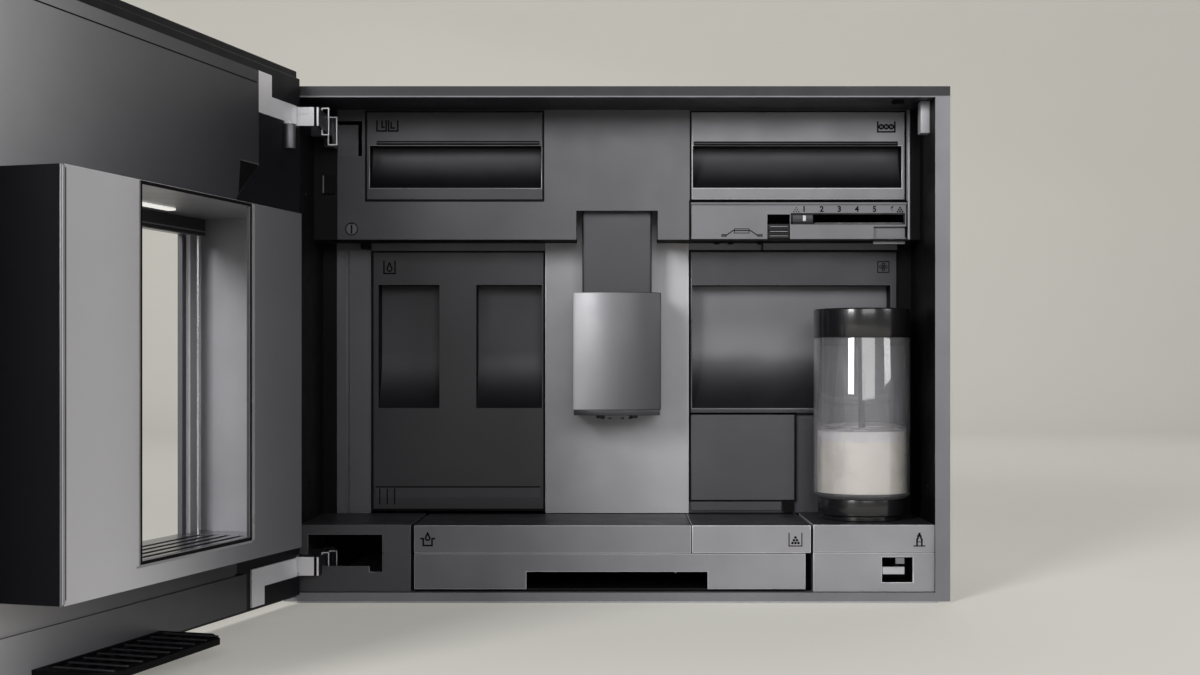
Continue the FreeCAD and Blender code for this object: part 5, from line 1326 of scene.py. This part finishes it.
@dataclass
class Drawers:
    """Storage drawer, bean drawer and water tank."""

    storage_pocket: Span = ((-224.4, 62.9, 368.9), (-70.6, 92, 407.2))
    bean_pocket: Span = ((69.5, 62.9, 368.9), (259.8, 92, 407.2))
    tank_pockets: tuple[Span, ...] = (
        ((-224.4, 103.8, 166.9), (-167.5, 132, 282.4)),
        ((-132.3, 103.8, 166.9), (-70.9, 132, 282.4)),
    )
    tank_fins: tuple[float, ...] = (-224.0, -217.0, -210.0)
    bars: tuple[Bar, ...] = (
        Bar(
            "storage_ledge", "storage_drawer", "gap_black", "cover_dark",
            (-219.5, 61.2, 408.2), (-70.8, 63, 411.9), 0.8,
        ),
        Bar(
            "storage_lip", "storage_drawer", "row_top", "cover_dark",
            (-219, 60.9, 409.4), (-71.4, 62.5, 410.8), 0.5,
        ),
        Bar(
            "bean_ledge", "bean_drawer", "gap_black", "cover_light",
            (70.1, 61.2, 407.6), (256.7, 63, 411.4), 0.8,
        ),
        Bar(
            "bean_lip", "bean_drawer", "row_top", "cover_light",
            (70.7, 60.9, 408.8), (256.1, 62.5, 410.2), 0.5,
        ),
        Bar(
            "tank_low_bar", "water_tank", "row_top", "cover_dark",
            (-226.6, 102.85, 82.6), (-72.4, 103.6, 91.6), 0,
        ),
        Bar(
            "tank_groove", "water_tank", "gap_black", "cover_dark",
            (-227, 102.7, 91.8), (-72.2, 103.5, 93), 0,
        ),
    )

    def build(self) -> None:
        """Dress the fronts and the vessels behind them."""
        # the finger scoops get painted shade and highlight
        storage = inside("storage_scoop", *self.storage_pocket)
        bean = inside("bean_scoop", *self.bean_pocket)
        tank = tuple(inside("tank_scoop", *pocket) for pocket in self.tank_pockets)
        # painted light and shade: the storage and tank fronts are set darker and the bean front lighter
        for node, look, coats in (
            ("storage_drawer_front", "storage_grey", (rim(FASCIA), storage)),
            ("bean_drawer_front", "bean_grey", (rim(FASCIA), bean)),
            ("water_tank_front", "tank_grey", (rim(COVERS), *tank)),
        ):
            Moulding(node, worn=True, look=look, coats=coats).dress()
        for node in ("storage_bin", "bean_hopper", "water_tank_body"):
            Moulding(node, edge=0.8).dress()
        for node in ("bean_lid", "water_tank_lid"):
            Moulding(node, edge=0.4).dress()
        for bar in self.bars:
            bar.build()
        self.build_fins()

    def build_fins(self) -> None:
        """Short ribs at the tank's lower left corner."""
        fins = [((x, 102.7, 76), (x + 1.2, 103.4, 91)) for x in self.tank_fins]
        Workpiece().boxes(fins).placed("tank_fins", "water_tank", "gap_black", "cover_dark")


@dataclass
class SettingPanel:
    """Grind setting panel with slider, latch and screw."""

    track_low: Flat = (159.8, 336.7)
    track_high: Flat = (262.0, 344.8)
    digit_left: float = 170.9
    digit_step: float = 16.1
    digit_up: float = 349.4
    digit_size: float = 7.2
    digit_weight: float = 0.24
    dots_left: float = 163.8
    dots_right: float = 258.6
    latch_ribs: tuple[float, ...] = (324.8, 328.8, 333.4)
    latch_front: float = 61.0
    bars: tuple[Bar, ...] = (
        Bar("scale_rail", "cabinet", "bead_light", "panel_dark", (181, 62.2, 336.6), (260.4, 64, 337.0), 0),
        Bar(
            "knob_mark", "setting_slider", "print_white", "knob_grey",
            (169.6, 60.3, 338.6), (172.4, 60.9, 343.6), 0.2,
        ),
        Bar("notch_plate", "cabinet", "panel_dark", "fascia_grey", (234.8, 66.2, 318), (264, 68, 333.5)),
    )

    def build(self) -> None:
        """Dress the panel and what moves in it, and print its scale."""
        Moulding("setting_panel", worn=True, edge=0.4, coats=(rim(FASCIA - 0.4),)).dress()
        Moulding("grind_slider", edge=0.3).dress()
        Moulding("thumb_latch", look="latch_black", edge=0.4).dress()
        Moulding("cover_screw", look="screw_grey", edge=0.2).dress()
        for bar in self.bars:
            bar.build()
        self.build_digits()
        self.build_scale_dots()
        self.build_latch_ribs()
        self.build_track_edge()
        self.build_screw_ring()

    def build_digits(self) -> None:
        """Numbers 1 to 6 over the track."""
        piece = Workpiece()
        upright = Matrix.Rotation(math.pi / 2, 4, "X")
        for count in range(6):
            curve = bpy.data.curves.new("scale_digit", "FONT")
            curve.body = str(count + 1)
            curve.size = self.digit_size
            curve.align_x = "CENTER"
            curve.align_y = "CENTER"
            curve.offset = self.digit_weight
            curve.extrude = PRINT_PROUD / 2
            item = show("scale_digit", curve)
            drawn = bpy.data.meshes.new_from_object(item)
            across = self.digit_left + self.digit_step * count
            place = Matrix.Translation((across, FASCIA - PRINT_PROUD / 2, self.digit_up))
            drawn.transform(place @ upright)
            piece.mesh.from_mesh(drawn)
            bpy.data.objects.remove(item)
            bpy.data.meshes.remove(drawn)
            bpy.data.curves.remove(curve)
        piece.placed("scale_digits", "cabinet", "print_dark", "panel_dark")

    def build_scale_dots(self) -> None:
        """A heap of dots at each end of the scale: coarse at the left, fine at the right."""
        piece = Workpiece()
        for middle, radius in ((self.dots_left, 0.55), (self.dots_right, 0.85)):
            for row in range(3):
                for count in range(row + 1):
                    across = middle + (count - row / 2) * 2.3
                    piece.dot((across, self.digit_up + 1.4 - row * 1.8), radius, FASCIA)
        piece.placed("scale_dots", "cabinet", "print_dark", "panel_dark")

    def build_latch_ribs(self) -> None:
        """Ribs across the latch for the thumb."""
        front = self.latch_front
        ribs = [((139.6, front - 0.5, up), (155.8, front + 0.5, up + 0.6)) for up in self.latch_ribs]
        Workpiece().boxes(ribs, 0.2).placed("latch_ribs", "panel_latch", "bead_light", "knob_grey")

    def build_track_edge(self) -> None:
        """Dark printed edge around the track."""
        piece = Workpiece()
        low = (self.track_low[0] - 1.1, self.track_low[1] - 1.1)
        high = (self.track_high[0] + 1.1, self.track_high[1] + 1.1)
        piece.border(low, high, FASCIA - PRINT_PROUD, FASCIA + PRINT_SINK, 1.0)
        piece.placed("track_edge", "cabinet", "print_dark", "panel_dark")

    def build_screw_ring(self) -> None:
        """Dark recess line around the cover screw and its arrow slot."""
        piece = Workpiece()
        piece.arc((-242.5, 331.4), 5.5, FASCIA, 0.9)
        piece.placed("screw_ring", "cabinet", "gap_black", "fascia_grey")
        slot = Workpiece()
        slot.stroke((-242.5, 328.2), (-242.5, 334.6), FASCIA - 0.45, 1.5)
        slot.placed("screw_slot", "facia_screw", "gap_black", "chrome")


@dataclass
class Symbols:
    """Printed signs on the fronts: what each part holds."""

    line: float = 1.45
    storage: Flat = (-219.3, 421.0)
    bean: Flat = (238.2, 420.2)
    bracket: Flat = (96.0, 325.0)
    tank: Flat = (-219.5, 293.4)
    brew: Flat = (245.2, 294.0)
    tray: Flat = (-170.9, 49.3)
    grounds: Flat = (150.0, 49.3)
    bottle: Flat = (259.0, 49.3)

    def build(self) -> None:
        """Draw every sign."""
        self.storage_sign()
        self.bean_sign()
        self.bracket_sign()
        self.tank_sign()
        self.brew_sign()
        self.tray_sign()
        self.grounds_sign()
        self.bottle_sign()

    def vessel(self, piece: Workpiece, corner: Flat, size: Flat, plane: float, line: float) -> None:
        """An open vessel in section.

        Args:
            piece: what it is drawn in.
            corner: its lower left corner.
            size: how wide and high it is.
            plane: depth of the surface.
            line: line width.
        """
        x, z = corner
        wide, high = size
        piece.path([(x, z + high), (x, z), (x + wide, z), (x + wide, z + high)], plane, line)

    def storage_sign(self) -> None:
        """Two open containers side by side, one with a scoop."""
        piece = Workpiece()
        plane = FASCIA
        x, z = self.storage
        for left in (x, x + 10.6):
            self.vessel(piece, (left, z), (8.4, 9), plane, self.line)
        piece.path([(x + 4.6, z + 8.6), (x + 4.6, z + 3.4), (x + 6.4, z + 3.4)], plane, self.line)
        piece.path([(x + 13, z + 7.4), (x + 13, z + 2.6), (x + 16, z + 2.6)], plane, self.line)
        piece.placed("storage_sign", "storage_drawer", "print_dark", "cover_dark")

    def bean_sign(self) -> None:
        """Three beans in a box."""
        piece = Workpiece()
        plane = FASCIA
        x, z = self.bean
        self.vessel(piece, (x, z), (15.6, 8.8), plane, self.line)
        for count in range(3):
            middle = (x + 3.2 + 4.6 * count, z + 4.6)
            piece.arc(middle, 1.9, plane, self.line)
            piece.stroke((middle[0], middle[1] - 1.2), (middle[0], middle[1] + 1.2), plane, 0.6)
        piece.placed("bean_sign", "bean_drawer", "print_dark", "cover_light")

    def bracket_sign(self) -> None:
        """Cross-section of the removable bridge over the burrs."""
        piece = Workpiece()
        plane = FASCIA
        x, z = self.bracket
        lower = [(0, 0.8), (4, 0.8), (10, 5), (26, 5), (32, 0.8), (36.4, 0.8)]
        piece.path([(x + a, z + b) for a, b in lower], plane, 0.9)
        for left in (x, x + 33):
            piece.border((left - 0.6, z - 0.8), (left + 4, z + 1.6), plane - PRINT_PROUD, plane, 0.6)
        low, high = (x + 11, z + 2.4), (x + 25, z + 6.9)
        piece.border(low, high, plane - PRINT_PROUD, plane + PRINT_SINK, 0.7)
        piece.placed("bracket_sign", "cabinet", "print_dark", "panel_dark")

    def drop(self, piece: Workpiece, middle: Flat, size: float, plane: float) -> None:
        """A drop: a round belly with a point on top.

        Args:
            piece: what it is drawn in.
            middle: centre of the belly.
            size: radius of the belly.
            plane: depth of the surface.
        """
        x, z = middle
        piece.arc(middle, size, plane, self.line, 150, 390)
        tip = (x, z + size * 2.4)
        reach = size * math.cos(math.radians(30))
        piece.stroke((x - reach, z + size / 2), tip, plane, self.line)
        piece.stroke((x + reach, z + size / 2), tip, plane, self.line)

    def tank_sign(self) -> None:
        """A drop in a vessel."""
        piece = Workpiece()
        plane = COVERS
        x, z = self.tank
        self.vessel(piece, (x, z), (10.4, 11.4), plane, self.line)
        self.drop(piece, (x + 5.2, z + 4.4), 2.3, plane)
        piece.placed("tank_sign", "water_tank", "print_dark", "cover_dark")

    def brew_sign(self) -> None:
        """The brew unit: a square with a four-bladed wheel."""
        piece = Workpiece()
        plane = COVERS
        x, z = self.brew
        piece.border((x, z), (x + 11.4, z + 11), plane - PRINT_PROUD, plane + PRINT_SINK, 0.9)
        middle = (x + 5.7, z + 5.5)
        piece.dot(middle, 0.8, plane)
        for turn in range(4):
            angle = math.radians(90 * turn)
            blade = (middle[0] + 2.4 * math.cos(angle), middle[1] + 2.4 * math.sin(angle))
            piece.arc(blade, 1.15, plane, 0.8)
        piece.placed("brew_sign", "cabinet", "print_dark", "cover_light")

    def tray_sign(self) -> None:
        """A drop over the drip tray."""
        piece = Workpiece()
        plane = ROW
        x, z = self.tray
        rim_line = [(0, 6.4), (2, 6.4), (2, 0.4), (9.6, 0.4), (9.6, 6.4), (11.6, 6.4)]
        piece.path([(x + a, z + b) for a, b in rim_line], plane, self.line)
        self.drop(piece, (x + 5.8, z + 6.8), 1.8, plane)
        piece.placed("tray_sign", "drip_tray_unit", "print_dark", "cover_mid")

    def grounds_sign(self) -> None:
        """A heap of grounds in a container."""
        piece = Workpiece()
        plane = ROW
        x, z = self.grounds
        self.vessel(piece, (x, z), (11.2, 11), plane, 0.9)
        for row in range(3):
            for count in range(3 - row):
                across = x + 3 + (count + row / 2) * 2.6
                piece.dot((across, z + 2.6 + row * 2.4), 1.15, plane)
        piece.placed("grounds_sign", "grounds_unit", "print_dark", "cover_mid")

    def bottle_sign(self) -> None:
        """The milk container on its place."""
        piece = Workpiece()
        plane = ROW
        x, z = self.bottle
        piece.stroke((x, z), (x + 9.4, z), plane, 1.0)
        outline = [(2.6, 0.6), (2.6, 5.4), (3.5, 7.4), (3.5, 8.8), (5.9, 8.8), (5.9, 7.4), (6.8, 5.4)]
        piece.path([(x + a, z + b) for a, b in [*outline, (6.8, 0.6)]], plane, self.line)
        piece.stroke((x + 2.8, z + 3.6), (x + 6.6, z + 3.6), plane, 0.7)
        piece.dot((x + 4.7, z + 10.4), 1.2, plane)
        piece.placed("bottle_sign", "cabinet", "print_dark", "cover_mid")


@dataclass
class Outlet:
    """Height-set coffee outlet on its rail."""

    nubs: tuple[float, ...] = (-13.0, -6.5, 5.0, 12.0)
    nub_deep: float = 58.0
    nub_up: float = 158.2

    def build(self) -> None:
        """Dress the neck, head and spouts."""
        Moulding("outlet_neck", worn=True, look="neck_grey", edge=0.5).dress()
        Moulding("outlet_head", edge=0.9, segments=3).dress()
        Moulding("spout_base", look="row_top", edge=0.3).dress()
        Moulding("outlet_rail", edge=0.4).dress()
        piece = Workpiece()
        for across in self.nubs:
            piece.rod((across, self.nub_deep, self.nub_up), Axis.Z, 1.0, 1.6, sides=20)
        piece.soften(0.4)
        piece.placed("spout_nubs", "coffee_outlet", "gap_black", "outlet_grey")


@dataclass
class DripSide:
    """Drip tray, its front and cover, and the grounds container."""

    slot_light: Bar = Bar(
        "slot_light", "drip_tray_unit", "strip_light", "cover_mid", (50.2, 5.2, 25), (52.4, 7, 27.4)
    )

    def build(self) -> None:
        """Dress the tray parts."""
        Moulding("drip_tray").dress()
        # painted shade on the tops of the tray front, cover and grounds container
        Moulding("drip_tray_front", worn=True, look="tray_grey", coats=(upward("gap_black"),)).dress()
        Moulding("drip_tray_cover", worn=True, look="tray_grey", coats=(upward("row_top"),)).dress()
        Moulding("grounds_container", worn=True, look="row_light", coats=(upward("row_top"),)).dress()
        self.slot_light.build()


@dataclass
class MilkContainer:
    """Milk container: foot, glass, milk and lid."""

    foam_low: float = 138.5
    milk_share: float = 0.985

    def build(self) -> None:
        """Dress the container."""
        Moulding("milk_foot", look="jug_lid", edge=0.8, segments=3).dress()
        Moulding("milk_glass", edge=0.6).dress()
        self.dress_milk()
        Moulding("milk_lid", edge=0.8, segments=3).dress()

    def dress_milk(self) -> None:
        """Milk with a band of foam on top."""
        piece = Workpiece()
        piece.take("milk")
        low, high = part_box("milk")
        middle = (Vector(low) + Vector(high)) / (2 * MM)
        bmesh.ops.scale(
            piece.mesh,
            vec=(self.milk_share, self.milk_share, 1),
            space=Matrix.Translation(-middle),
            verts=piece.mesh.verts,
        )
        piece.divide(Axis.Z, self.foam_low)
        piece.paint("milk_foam", lambda face: face.calc_center_median().z > self.foam_low)
        item = piece.placed("milk_dressed", "milk_container", "milk_white", "milk_white")
        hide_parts("milk")


@dataclass
class Door:
    """Door with its niche, tongue and inner window frame."""

    niche_half: float = 141.0
    mouth_half: float = 64.0
    mouth_low: float = 87.0
    mouth_high: float = 317.5
    niche_rear: float = 72.5
    panel_rear: float = -2.5
    groove_up: float = 434.2
    niche_top: float = 319.0
    rail: Bar = Bar(
        "window_rail",
        "door",
        "rail_dark",
        "niche_grey",
        (-139, -15.2, 305.5),
        (139, -8, 318),
        0.6,
        Setting.ON_DOOR,
    )
    rail_lines: tuple[float, ...] = (304.4, 307.8, 317.6)
    window_low: float = 80.5
    window_high: float = 305.0
    window_front: float = -15.3
    window_bars: tuple[tuple[str, float, float, float], ...] = (
        ("window_grey", 121.6, 131.4, -11.0),
        # painted reflection: a white bar for the chrome frame's bright reflection
        ("frame_white", 119.0, 121.0, -9.6),
        ("gap_black", 117.0, 118.8, -12.0),
        ("strip_grey", 112.0, 116.8, -11.0),
    )
    rod_across: float = 134.8
    rod_deep: float = -12.4
    rod_radius: float = 2.8
    mouth_beads: tuple[tuple[Flat, Flat, float], ...] = (
        ((-70.2, 84), (-66.8, 319.4), 0.5),
        ((-66.8, 82.8), (70, 84.1), 0.4),
        ((66.8, 84), (67.8, 319.4), 0.4),
        ((138.8, 72), (140.8, 319), 0.3),
    )

    def build(self) -> None:
        """Dress the door's parts."""
        edges = Coat("frame_dark", lambda face: abs(face.normal.y) < 0.7)
        back = Coat("frame_dark", lambda face: face.normal.y > -0.7)
        Moulding("door_front_panel", edge=0.6, coats=(back,), setting=Setting.ON_DOOR).dress()
        Moulding("door_carrier", edge=0.4).dress()
        Moulding("niche_trim", edge=0.4).dress()
        Moulding("door_inner_panel", edge=0.7, coats=(edges,), setting=Setting.ON_DOOR).dress()
        self.dress_niche()
        Moulding("niche_grate", edge=0.4).dress()
        self.dress_lamp()
        Moulding("drip_tongue", look="gap_black", edge=0.4).dress()
        self.build_panel_lines()
        self.build_window_frame()
        self.build_mouth_edge()
        self.build_tongue_ribs()

    def dress_niche(self) -> None:
        """The niche box: black sides and a rear wall with painted reflection, lighter on its far side."""
        piece = Workpiece()
        piece.take("niche_box", Setting.ON_DOOR)
        piece.soften(0.7)
        rear, half = self.niche_rear - 0.1, self.niche_half - 0.05
        piece.paint("niche_side", lambda face: abs(face.calc_center_median().x) > half)
        # painted reflection on the rear wall
        piece.paint("niche_wall", lambda face: face.calc_center_median().y > rear)
        piece.paint("niche_inside", lambda face: self.is_inside(face.calc_center_median()))
        item = piece.placed("niche_box_dressed", "door", "niche_grey", "niche_grey", Setting.ON_DOOR)
        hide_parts("niche_box")

    def is_inside(self, middle: Vector) -> bool:
        """Whether a point is on the niche's inner walls."""
        ahead = middle.y < self.niche_rear - 2 and middle.z < self.niche_top
        return ahead and abs(middle.x) < self.niche_half - 1

    def add_boxes(self, name: str, look: str, slot: str, spans: Iterable[Span], edge: float = 0) -> Item:
        """Make one piece of boxes that rides on the door.

        Args:
            name: the piece's name.
            look: the finish's name.
            slot: the record's material slot.
            spans: the corners of each box on the closed door.
            edge: how wide their edges are rounded, if at all.

        Returns:
            The piece.
        """
        return Workpiece().boxes(spans, edge).placed(name, "door", look, slot, Setting.ON_DOOR)

    def dress_lamp(self) -> None:
        """A slim lamp cover under the niche's ceiling."""
        cover = ((-60, 10, 315.6), (60, 17, 317.5))
        item = self.add_boxes("niche_light_dressed", "lamp_white", "lamp_white", [cover], 0.8)
        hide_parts("niche_light")

    def build_panel_lines(self) -> None:
        """The inner panel's groove and the dark cavity in its notch."""
        rear = self.panel_rear + PRINT_PROUD
        groove = ((-206, self.panel_rear - 0.3, self.groove_up), (290, rear, self.groove_up + 1))
        piece = Workpiece().boxes([groove])
        notch = [(-208.4, 368.6), (-180.5, 368.6), (-177.5, 342.0)]
        piece.plate([(x, rear, z) for x, z in notch], (0, -0.4, 0))
        piece.placed("panel_lines", "door", "gap_black", "inner_panel", Setting.ON_DOOR)
        edge = ((-208.6, rear, 368.4), (-181, rear + 0.3, 369.4))
        self.add_boxes("panel_notch_edge", "strip_grey", "inner_panel", [edge])

    def build_window_frame(self) -> None:
        """Inner frame of the window: stepped bars at both sides and a rail on top."""
        self.rail.build()
        for look, near, far, deep in self.window_bars:
            bars = [
                ((left, self.window_front, self.window_low), (right, deep, self.window_high))
                for left, right in ((near, far), (-far, -near))
            ]
            self.add_boxes("frame_bars_" + look, look, "niche_grey", bars, 0.5)
        rods = Workpiece()
        height = self.window_high - self.window_low
        for across in (-self.rod_across, self.rod_across):
            rods.rod((across, self.rod_deep, self.window_low), Axis.Z, height, self.rod_radius, sides=24)
        rods.placed("window_rods", "door", "window_chrome", "niche_grey", Setting.ON_DOOR)
        lines = [((-138.6, -15.2, up), (138.6, -7.6, up + 0.9)) for up in self.rail_lines]
        self.add_boxes("rail_lines", "bead_light", "niche_grey", lines)

    def build_mouth_edge(self) -> None:
        """Black joint and a painted highlight bead around the niche's mouth, and one by its far edge."""
        rear = self.niche_rear
        joint = Workpiece()
        low = (-self.mouth_half - 2.6, self.mouth_low - 2.6)
        high = (self.mouth_half + 2.6, self.mouth_high + 2.2)
        joint.border(low, high, rear + 0.15, rear - 0.3, 2.2)
        joint.box((137.7, rear - 0.3, 74), (138.7, rear + 0.12, 318))
        joint.placed("mouth_joint", "door", "gap_black", "niche_grey", Setting.ON_DOOR)
        beads = [
            ((low[0], rear - 0.3, low[1]), (high[0], rear + proud, high[1]))
            for low, high, proud in self.mouth_beads
        ]
        self.add_boxes("mouth_bead", "bead_light", "niche_grey", beads)

    def build_tongue_ribs(self) -> None:
        """Ribs on the drip tongue."""
        ribs = [((x - 1.2, 6, 16.6), (x + 1.2, 50, 17.8)) for x in range(-60, 61, 15)]
        self.add_boxes("tongue_ribs", "row_top", "liner_black", ribs, 0.4)


@dataclass
class Hinges:
    """Concealed hinges: arms on the cabinet, brackets and the upper cup on the door."""

    arm_lows: tuple[float, ...] = (414.6, 25.0)
    slot_span: Flat = (-262.0, -259.6)
    plate_rear: float = -7.0
    cup: Flat = (-272.0, -9.0)
    cup_span: Flat = (391.0, 412.0)
    cup_radius: float = 5.2
    end_frames: tuple[tuple[Flat, Flat, Flat, float], ...] = (
        ((-259.8, -251.4), (-10, 15.5), (39.5, 41.0), 0.9),
        ((-259.0, -252.4), (-6, 18), (8.0, 9.0), 0.8),
    )

    def build(self) -> None:
        """Dress the hinge nodes and add their link frames and the upper cup."""
        Moulding("hinge_brackets", look="bracket_steel", edge=0.4).dress()
        cuts = tuple((Axis.X, across) for across in self.slot_span)
        slot = Coat("gap_black", self.is_slot)
        # painted shade: the arms' faces behind their front plate are dark
        behind = Coat("hinge_dark", lambda face: face.calc_center_median().y > self.plate_rear)
        Moulding("hinge_arms", edge=0.2, cuts=cuts, coats=(slot, behind)).dress()
        self.build_links()
        self.build_cup()

    def is_slot(self, face: Face) -> bool:
        """Whether a face is in the slot across an arm's front."""
        left, right = self.slot_span
        return face.normal.y < -0.7 and left < face.calc_center_median().x < right

    def build_links(self) -> None:
        """Thin end frames where the arms enter the cabinet."""
        piece = Workpiece()
        for low in self.arm_lows:
            for (left, right), (below, above), (near, deep), wide in self.end_frames:
                piece.border((left, low + below), (right, low + above), near, deep, wide)
        piece.placed("hinge_links", "cabinet", "bracket_steel", "chrome")

    def build_cup(self) -> None:
        """Round cup that hangs under the upper bracket."""
        piece = Workpiece()
        low, high = self.cup_span
        piece.rod((*self.cup, low), Axis.Z, high - low, self.cup_radius, sides=40)
        piece.soften(0.6)
        piece.placed("hinge_cups", "door", "cup_steel", "chrome", Setting.ON_DOOR)


@dataclass
class Internals:
    """Grinder, brew unit and water circuit behind the fronts."""

    nodes: tuple[str, ...] = (
        "grinder_housing",
        "cone_burr",
        "grinder_motor",
        "brew_unit_stand",
        "brew_piston",
        "water_pump",
        "heater_block",
        "valve_block",
        "pressure_hose",
    )

    def build(self) -> None:
        """Give each module its finish."""
        for node in self.nodes:
            BareNode(node).dress()


# ---------------------------------------------------------------- studio


@dataclass(frozen=True)
class SoftBox:
    """A rectangular soft light, in metres and watts."""

    name: str
    place: Point
    width: float
    height: float
    power: float
    aim: Point = (0.0, 0.0, 0.2)

    def build(self) -> None:
        """Add the light."""
        data = bpy.data.lights.new(self.name, "AREA")
        data.shape = "RECTANGLE"
        data.size = self.width
        data.size_y = self.height
        data.energy = self.power
        item = show(self.name, data)
        item.location = self.place
        facing = Vector(self.aim) - Vector(self.place)
        item.rotation_euler = facing.to_track_quat("-Z", "Y").to_euler()


@dataclass
class Studio:
    """Floor, backdrop, lights and camera."""

    boxes: tuple[SoftBox, ...] = (
        SoftBox("front_box", (0.6, -3.4, 1.3), 1.9, 1.2, 34.0),
        SoftBox("left_box", (-2.2, -3.4, 1.6), 1.0, 1.4, 108.0, (0.05, 0.06, 0.22)),
        SoftBox("right_box", (2.6, -1.7, 1.3), 0.9, 1.1, 21.0, (-0.3, -0.25, 0.25)),
        SoftBox("back_box", (0.5, 2.4, 2.7), 3.0, 3.0, 26.0, (0.0, 0.2, 0.3)),
    )
    horizon: float = 165.0
    zenith: float = 45.0
    paper_glow: float = 0.32
    camera_y: float = -1.2628
    camera_z: float = 0.2058
    lens: float = 43.5
    sensor: float = 36.0
    shift_x: float = -0.01417
    shift_y: float = 0.02417
    floor_near: float = -4.0
    floor_far: float = 4.0
    wall_height: float = 3.5
    wall_radius: float = 0.8
    half_width: float = 6.0
    bend_steps: int = 12
    dusk_low: float = -0.1
    dusk_high: float = 0.7
    sky_strength: float = 0.9

    def build(self) -> None:
        """Set the stage."""
        self.make_backdrop()
        self.make_lights()
        self.make_world()
        self.make_camera()

    def make_backdrop(self) -> None:
        """A floor that curves up into a wall."""
        mesh = bmesh.new()
        line = [mesh.verts.new((-self.half_width, self.floor_near, 0.0))]
        middle_y = self.floor_far - self.wall_radius
        for step in range(self.bend_steps + 1):
            angle = math.radians(90 * step / self.bend_steps)
            deep = middle_y + self.wall_radius * math.sin(angle)
            up = self.wall_radius * (1 - math.cos(angle))
            line.append(mesh.verts.new((-self.half_width, deep, up)))
        line.append(mesh.verts.new((-self.half_width, self.floor_far, self.wall_height)))
        edges = [mesh.edges.new(pair) for pair in zip(line, line[1:])]
        grown = bmesh.ops.extrude_edge_only(mesh, edges=edges)
        moved = [item for item in grown["geom"] if isinstance(item, Vert)]
        bmesh.ops.translate(mesh, verts=moved, vec=(2 * self.half_width, 0, 0))
        data = bpy.data.meshes.new("studio_floor")
        mesh.to_mesh(data)
        mesh.free()
        data.shade_smooth()
        item = show("studio_floor", data)
        data.materials.append(self.pale())
        item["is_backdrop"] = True

    def pale(self) -> Material:
        """Matt pale paper with a glow of its own where the camera sees it.

        Returns:
            The material.
        """
        board = NodeBoard("studio_paper")
        board.tint(board.noise(2.0), shade(212, 9), shade(217, 9))
        board.polish(board.noise(6.0), 0.85, 0.95)
        board.relief(board.noise(500.0), 0.05, 0.0001)
        path = board.add("LightPath").outputs
        rays = {0: path["Is Camera Ray"], 1: path["Is Transmission Ray"]}
        seen = board.add("Math", rays, operation="MAXIMUM").outputs[0]
        mirrored = board.add("Math", {0: seen, 1: path["Is Glossy Ray"]}, operation="MAXIMUM").outputs[0]
        glow = board.add("Math", {0: mirrored, 1: self.paper_glow}, operation="MULTIPLY")
        board.join(glow.outputs[0], board.shader.inputs["Emission Strength"])
        board.give(Emission_Color=shade(205, 11))
        return board.material

    def make_lights(self) -> None:
        """Set up the soft boxes."""
        for box in self.boxes:
            box.build()

    def make_world(self) -> None:
        """Even pale surroundings."""
        world = bpy.data.worlds.new("studio")
        world.use_nodes = True
        tree = world.node_tree
        sky = tree.nodes["Background"]
        place = tree.nodes.new("ShaderNodeTexCoord")
        split = tree.nodes.new("ShaderNodeSeparateXYZ")
        tree.links.new(place.outputs["Generated"], split.inputs["Vector"])
        ramp = tree.nodes.new("ShaderNodeMapRange")
        ramp.interpolation_type = "SMOOTHSTEP"
        ramp.inputs["From Min"].default_value = self.dusk_low
        ramp.inputs["From Max"].default_value = self.dusk_high
        tree.links.new(split.outputs["Z"], ramp.inputs["Value"])
        mix = tree.nodes.new("ShaderNodeMix")
        mix.data_type = "RGBA"
        mix.inputs[6].default_value = shade(self.horizon, 6)
        mix.inputs[7].default_value = shade(self.zenith, 4)
        tree.links.new(ramp.outputs["Result"], mix.inputs[0])
        tree.links.new(mix.outputs[2], sky.inputs["Color"])
        sky.inputs["Strength"].default_value = self.sky_strength
        bpy.context.scene.world = world

    def make_camera(self) -> None:
        """A long-focus camera straight in front of the machine."""
        data = bpy.data.cameras.new("camera")
        data.lens = self.lens
        data.sensor_width = self.sensor
        data.shift_x = self.shift_x
        data.shift_y = self.shift_y
        item = show("camera", data)
        item.location = (0, self.camera_y, self.camera_z)
        item.rotation_euler = (math.pi / 2, 0, 0)
        bpy.context.scene.camera = item


def corners() -> list[list[float]]:
    """The shown object's box as plain numbers."""
    return [list(corner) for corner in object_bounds()]


def main() -> None:
    """Build every sub-assembly in order."""
    logging.basicConfig(level=logging.INFO, format="%(name)s: %(message)s")
    bpy.context.scene.view_settings.view_transform = "Standard"
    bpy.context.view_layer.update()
    assemblies: list[object] = [
        Studio(),
        Housing(),
        Fronts(),
        Drawers(),
        SettingPanel(),
        Symbols(),
        Outlet(),
        DripSide(),
        MilkContainer(),
        Door(),
        Hinges(),
        Internals(),
    ]
    for assembly in assemblies:
        LOG.info("building %s", type(assembly).__name__)
        assembly.build()
    bpy.context.view_layer.update()


if __name__ == "__main__":
    main()
